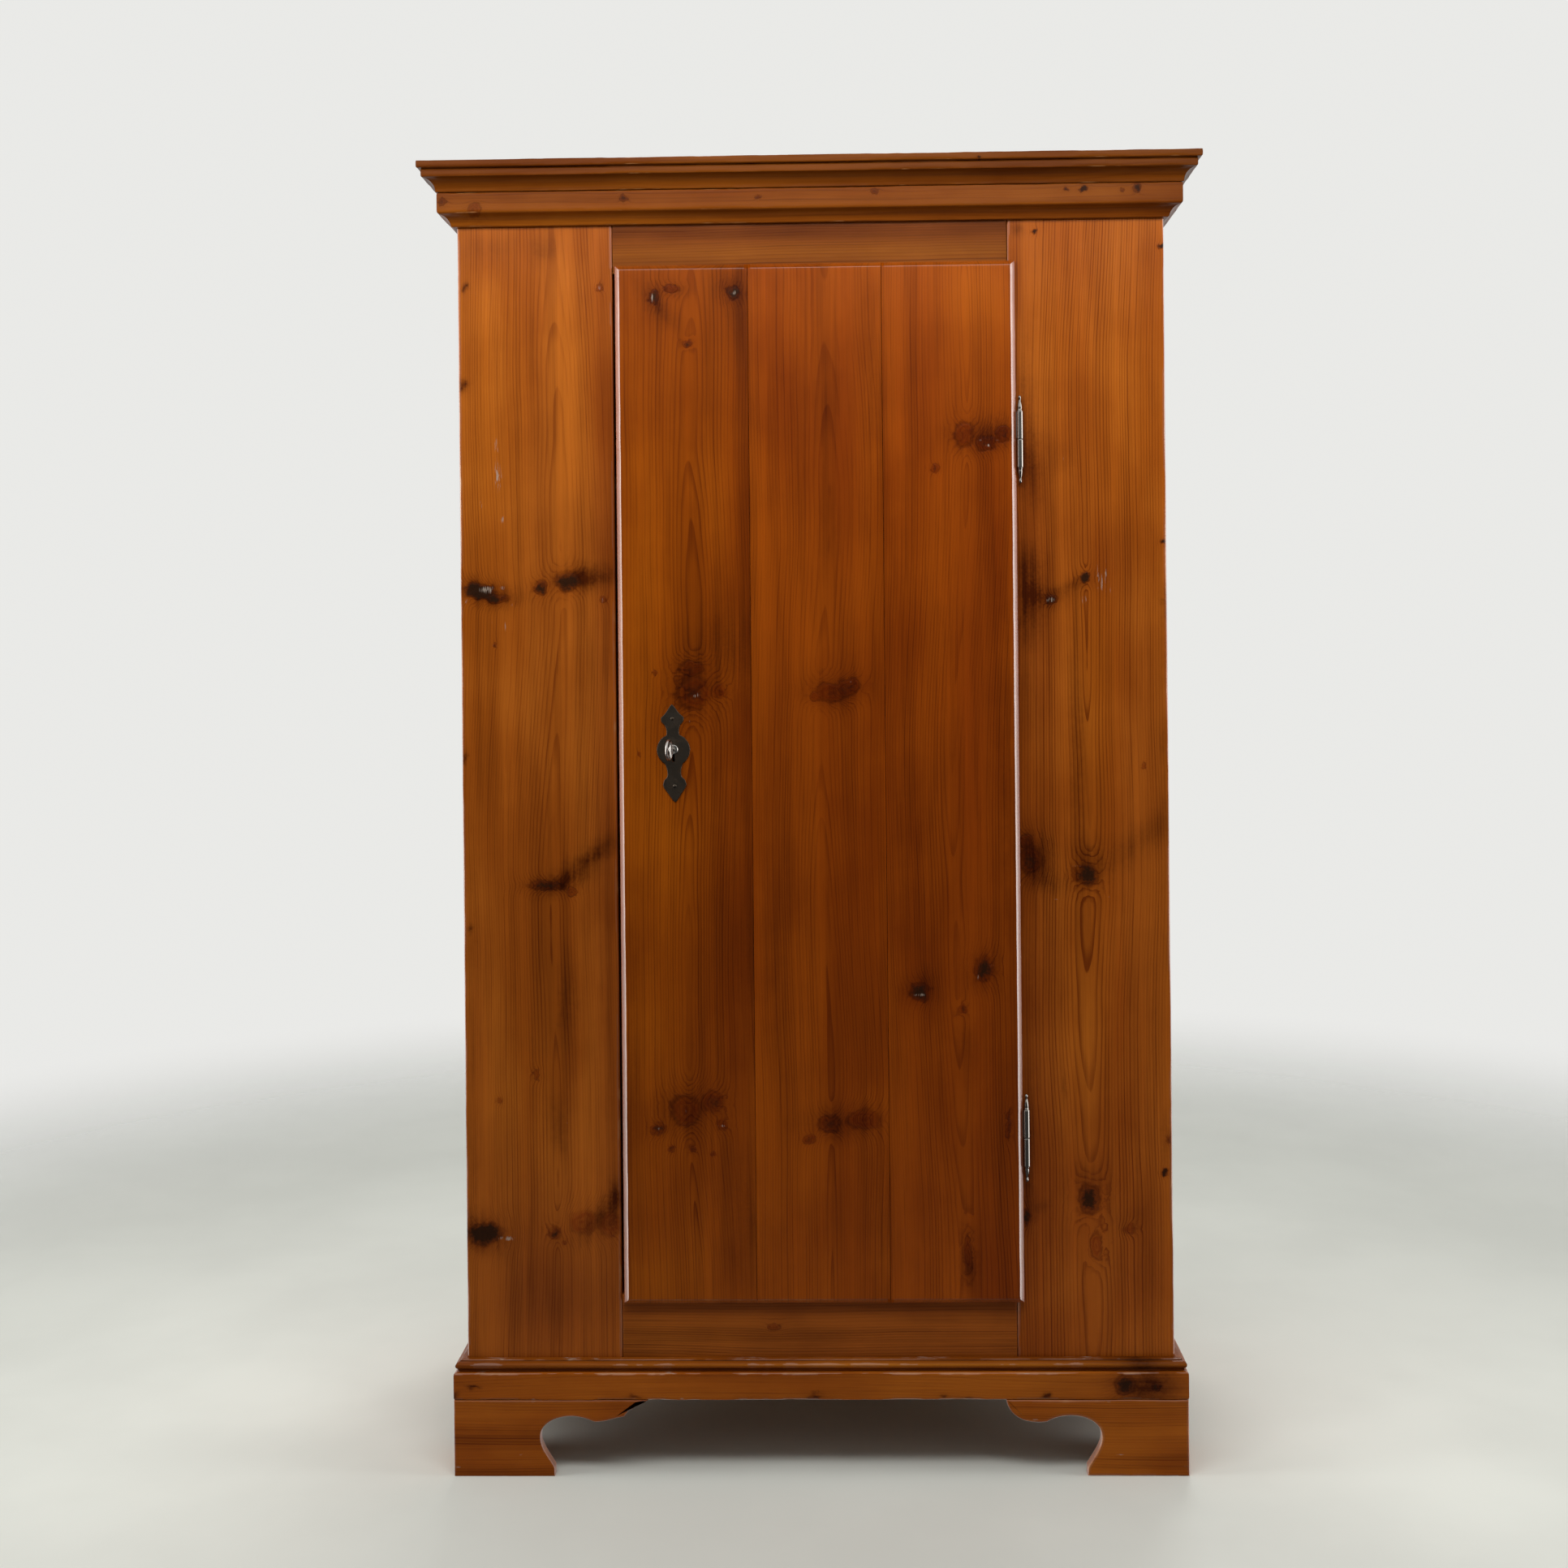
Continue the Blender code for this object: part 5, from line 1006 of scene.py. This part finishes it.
# Broad rows of the door boards: the wood's own tone and painted light and shade together.
DOOR_TONE_AND_LIGHT = (
    in_metres(
        (-205, 1620, 35, 120, 0.22), (-92, 1380, 18, 300, 0.28), (-100, 1040, 32, 220, 0.33),
        (-108, 520, 30, 340, 0.38), (-150, 400, 22, 200, 0.2), (-225, 270, 50, 60, -0.42),
        (-190, 1530, 100, 140, 0.08), (-245, 1600, 30, 120, 0.16), (-210, 860, 34, 460, -0.14)),
    in_metres(
        (-45, 1100, 30, 550, 0.12), (0, 1450, 20, 130, 0.25), (-45, 1520, 30, 100, 0.2),
        (45, 1430, 24, 150, 0.44), (40, 1540, 140, 120, 0.16), (50, 1020, 160, 350, 0.22)),
    in_metres(
        (160, 1540, 32, 130, 0.26), (140, 1480, 60, 120, 0.12), (222, 1050, 26, 300, 0.32),
        (235, 1650, 45, 60, -0.3), (262, 1300, 22, 120, 0.28), (130, 360, 50, 120, 0.16),
        (255, 280, 40, 60, 0.2), (170, 1020, 160, 350, 0.2)))
DOOR_COLOURS = ((0.280, 0.058, 0.0022), (0.238, 0.043, 0.0014), (0.120, 0.018, 0.0008))
DOOR_GREEN = (1.06, 1.00, 0.97)
DOOR_BARE = (DOOR_FACE + 0.0265, DOOR_FACE + 0.0275)
DOOR_PITHS = ((-0.176, 0.014, 0.80), (0.018, 0.020, 1.10), (0.205, 0.014, 0.95))
DOOR_TAPERS = (0.022, 0.020, -0.022)
LIP_DEPTH, LIP_WAVE = 0.007, 0.0004
LOCK_X, LOCK_Z = -0.1977, 1.023


def keyhole(low, high, size=48):
    """The outline of the keyhole through the door: a round for the shank and a slot for the bit."""
    half_slot, drop, radius = 0.0018, 0.0172, 0.0042
    start = math.asin(half_slot / radius)
    turn = -math.pi / 2 + start + (2 * math.pi - 2 * start) * np.linspace(0, 1, size)
    x = np.concatenate([[-half_slot, half_slot], radius * np.cos(turn)])
    z = np.concatenate([[-drop, -drop], radius * np.sin(turn)])
    return np.stack([np.stack([LOCK_X + x, y + 0 * x, LOCK_Z + z], -1) for y in (low, high)])


def cut_out(made, rings):
    """Takes a solid out of a piece for good."""
    tool = skin("cutter", (rings, None, False))
    work = made.modifiers.new("cut", "BOOLEAN")
    work.operation, work.solver, work.object = "DIFFERENCE", "EXACT", tool
    cut = bpy.data.meshes.new_from_object(made.evaluated_get(bpy.context.evaluated_depsgraph_get()))
    made.modifiers.clear()
    cut.set_sharp_from_angle(angle=SHARP_ANGLE)
    made.data = cut
    bpy.data.objects.remove(tool)


for number in (1, 2, 3):
    low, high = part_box(f"door_board_{number}")
    left_lip, right_lip = number == 1, number == 3
    outline = rectangle((low.x, low.z), (high.x, high.z))
    across, up = ((outline - (low.x, low.z)) / (high.x - low.x, high.z - low.z)).T
    left_edge, right_edge = across < 1e-6, across > 1 - 1e-6
    glued = left_edge & (not left_lip) | right_edge & (not right_lip)
    inward = 1.0 * (left_edge & left_lip) - 1.0 * (right_edge & right_lip)
    waves = wander(600 + number, np.cumsum(np.full(len(outline), 0.004)), 0.07)
    rings, wears = [], []
    for lip, joint, depth, worn in DOOR_STEPS:
        left, right = (lip if left_lip else joint), (lip if right_lip else joint)
        soft = np.abs(waves * LIP_WAVE) if 0 < depth < LIP_DEPTH else 0
        x = low.x + left + (high.x - low.x - left - right) * across
        z = low.z + lip + (high.z - low.z - 2 * lip) * up
        rings.append(np.stack([x + inward * soft, DOOR_FACE + depth + 0 * x, z], -1))
        wears.append(np.where(glued, 0, worn * np.clip(1 + waves * 0.6, 0.75, 2)))
    made = skin(f"door_plank_{number}", (np.stack(rings), np.stack(wears), False))
    if number == 1:
        cut_out(made, keyhole(DOOR_FACE - 0.002, DOOR_FACE + 0.030))
    fit(made, pine(f"door_pine_{number}", Z, X, 41.3 + 2.9 * number, DOOR_PITHS[number - 1],
                   DOOR_TAPERS[number - 1], knots=DOOR_KNOTS[number - 1],
                   stains=DOOR_STAINS[number - 1], scratches_and_glints=DOOR_SCRATCHES_AND_GLINTS[number - 1],
                   tone_and_light_rows=DOOR_TONE_AND_LIGHT[number - 1], face=DOOR_FACE, bare=DOOR_BARE,
                   colours=[(red, green * DOOR_GREEN[number - 1], blue)
                            for red, green, blue in DOOR_COLOURS]),
        "door", "front_pine", f"door_board_{number}")
dress(["door_batten_upper", "door_batten_lower"], pine(
    "batten_pine", X, Z, 51.3, (1.0, 0.3, 0.0), colours=inner_finish, wax=False))

# Hinges: steel pin hinges. Each has a knuckle with a leaf let into the stile, another let into the
# door's edge, and a loose pin with a turned finial at both ends.


def steel(name, colour, rough, seed, spots, spot_colour):
    """Worn metal: fine pits, soft dark spots where rust has been, and a roughness that wanders."""
    material, tree, shader, place = new_material(name)
    grain = cloud((900, 900, 900), place, seed, 2.0) - 0.5
    rust = cloud((130, 130, 130), place, seed + 2, 4.0, 0.6)
    worn = cloud((60, 60, 60), place, seed + 4, 3.0) - 0.5
    tree.links.new(blend(rust.slope(*spots), colour, spot_colour), shader.inputs["Base Color"])
    (rust.slope(*spots) * 0.25 + worn * 0.2 + rough).to(shader.inputs["Roughness"])
    shader.inputs["Metallic"].default_value = 1.0
    bump(tree, shader, grain * 0.000004 + rust * 0.000015 + worn * 0.00003)
    return material


def turned(profile, x, y, sides=40):
    """Rings round an upright axis, from a profile of (radius, z) points."""
    profile = np.array(profile, float)
    turn = np.linspace(0, 2 * math.pi, sides, endpoint=False)
    ring = np.stack([np.cos(turn), np.sin(turn), 0 * turn], -1)
    return (ring[None] * profile[:, 0][:, None, None]
            + np.array([x, y, 0]) + profile[:, 1][:, None, None] * np.array([0, 0, 1]))


bright_steel = steel("hinge_steel", (0.42, 0.395, 0.36), 0.13, 61.0, (0.60, 0.80),
                     (0.10, 0.075, 0.055))
FINIAL = ((1.00, 0.00), (1.00, 0.06), (0.88, 0.10), (0.86, 0.13), (0.92, 0.19), (0.90, 0.28),
          (0.78, 0.42), (0.66, 0.52), (0.55, 0.60), (0.45, 0.65), (0.42, 0.69), (0.46, 0.74),
          (0.57, 0.79), (0.62, 0.84), (0.60, 0.89), (0.50, 0.94), (0.32, 0.98), (0.10, 1.00))
FINIAL_RADIUS, PIN_RADIUS, BORE, BARREL = 0.0036, 0.0025, 0.0028, 0.0047
HALF_LEAF = 0.001
PLAY = 0.0003
for label in ("upper", "lower"):
    pin_low, pin_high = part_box(f"hinge_pin_{label}")
    hinge_x, hinge_y = (pin_low.x + pin_high.x) / 2, (pin_low.y + pin_high.y) / 2
    foot_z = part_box(f"hinge_frame_leaf_{label}")[0].z - PLAY
    head_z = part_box(f"hinge_door_leaf_{label}")[1].z + PLAY
    profile = [(FINIAL_RADIUS * wide, foot_z - (foot_z - pin_low.z) * up)
               for wide, up in reversed(FINIAL)]
    profile += [(PIN_RADIUS, foot_z), (PIN_RADIUS, head_z)]
    profile += [(FINIAL_RADIUS * wide, head_z + (pin_high.z - head_z) * up) for wide, up in FINIAL]
    fit(skin(f"hinge_pin_turned_{label}", (turned(profile, hinge_x, hinge_y), None, False)),
        bright_steel, "carcass", "bright_steel", f"hinge_pin_{label}")
    for part, body in (("frame", "carcass"), ("door", "door")):
        low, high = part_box(f"hinge_{part}_leaf_{label}")
        ends = ((0.0041, low.z), (0.0045, low.z + 0.0001), (BARREL, low.z + 0.0004),
                (BARREL, low.z + 0.0012), (BARREL, high.z - 0.0012), (BARREL, high.z - 0.0004),
                (0.0045, high.z - 0.0001), (0.0041, high.z), (BORE, high.z), (BORE, low.z))
        barrel = turned(ends, hinge_x, hinge_y)
        if part == "frame":
            leaf = ((hinge_x - HALF_LEAF, hinge_y + 0.0035), (hinge_x + HALF_LEAF, high.y))
        else:
            leaf = ((low.x, hinge_y - HALF_LEAF), (hinge_x - 0.0035, hinge_y + HALF_LEAF))
        flat = rectangle(*leaf)
        plate = np.stack([np.concatenate([flat, 0 * flat[:, :1] + z], 1)
                          for z in (low.z + 0.0015, high.z - 0.0015)])
        fit(skin(f"hinge_knuckle_{part}_{label}", (barrel, None, True), (plate, None, False)),
            bright_steel, body, "bright_steel", f"hinge_{part}_leaf_{label}")

# Lock: a browned iron plate with pointed ends, held by two nails, over the keyhole. The case with
# the bolt is screwed behind the door, and the key has a collar and an oval bow.
PLATE_UP = ((0.00, 1.00), (0.10, 0.97), (0.36, 0.83), (0.56, 0.75), (0.68, 0.71), (0.66, 0.63),
            (0.57, 0.58), (0.46, 0.54), (0.37, 0.44), (0.37, 0.34), (0.44, 0.31), (0.70, 0.25),
            (0.92, 0.13))
PLATE_DOWN = ((1.00, 0.00), (0.93, 0.12), (0.72, 0.22), (0.52, 0.28), (0.43, 0.37), (0.40, 0.47),
              (0.46, 0.53), (0.62, 0.58), (0.70, 0.67), (0.62, 0.74), (0.44, 0.82), (0.14, 0.96))
PLATE_SIZE = (0.0234, 0.0634, 0.0743)
PLATE_TILT = math.radians(1.6)
PLATE_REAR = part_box("lock_plate")[1].y


def plate_outline():
    """The plate's outline, tilted a little: the given points and a smooth curve through them, where
    each step is a cubic whose slopes follow the way between the points beside it."""
    wide, up, down = PLATE_SIZE
    right = np.concatenate([np.array(PLATE_UP) * (wide, up), np.array(PLATE_DOWN) * (wide, -down)])
    points = np.concatenate([right, [(0, -down)], right[:0:-1] * (-1, 1)])[::-1]
    before, after = np.roll(points, 1, 0), np.roll(points, -1, 0)
    beyond = np.roll(points, -2, 0)
    share = np.linspace(0, 1, 4, endpoint=False)[:, None, None]
    start, stop = (after - before) * 0.32, (beyond - points) * 0.32
    curve = ((2 * share ** 3 - 3 * share ** 2 + 1) * points
             + (share ** 3 - 2 * share ** 2 + share) * start
             + (3 * share ** 2 - 2 * share ** 3) * after + (share ** 3 - share ** 2) * stop)
    x, z = curve.transpose(1, 0, 2).reshape(-1, 2).T
    cosine, sine = math.cos(PLATE_TILT), math.sin(PLATE_TILT)
    return np.stack([LOCK_X + x * cosine - z * sine, LOCK_Z + x * sine + z * cosine], -1)


dark_iron = steel("browned_iron", (0.125, 0.102, 0.080), 0.36, 67.0, (0.42, 0.85), (0.085, 0.055, 0.036))
plate_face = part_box("lock_plate")[0].y
plate = skin("keyhole_plate", slab(plate_outline(), PLATE_REAR - plate_face, 0.0006,
                                   lambda x, z, depth: np.stack([x, plate_face + depth, z], -1), 71,
                                   rear_arris=0.0001, support=0.0001, wear=0.2))
cut_out(plate, keyhole(plate_face - 0.002, PLATE_REAR + 0.0002))
fit(plate, dark_iron, "door", "dark_iron", "lock_plate")
NAIL_PROFILE = np.array([(0.02, 1.00), (0.30, 0.97), (0.58, 0.82), (0.80, 0.62), (0.94, 0.35),
                         (1.00, 0.02), (0.35, 0.00), (0.35, -7.00)])
NAIL_RADIUS = 0.0026
nail_turn = np.linspace(0, 2 * math.pi, 20, endpoint=False)
for label in ("upper", "lower"):
    low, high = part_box(f"lock_plate_nail_{label}")
    wide, out = NAIL_PROFILE.T[:, :, None]
    radius = NAIL_RADIUS * wide * (1 + 0.06 * np.sin(3 * nail_turn + 1))
    rings = np.stack([(low.x + high.x) / 2 + radius * np.cos(nail_turn),
                      plate_face - (plate_face - low.y) * out + 0 * radius,
                      (low.z + high.z) / 2 + radius * np.sin(nail_turn)], -1)
    fit(skin(f"plate_nail_{label}", (rings, None, False)), dark_iron, "door", "dark_iron",
        f"lock_plate_nail_{label}")
dress(["lock_case"], dark_iron, 0.0004)
dress(["lock_bolt"], bright_steel, 0.0005)
dress(["key"], steel("key_steel", (0.56, 0.54, 0.51), 0.20, 71.0, (0.62, 0.85), (0.20, 0.16, 0.13)),
      0.0002)
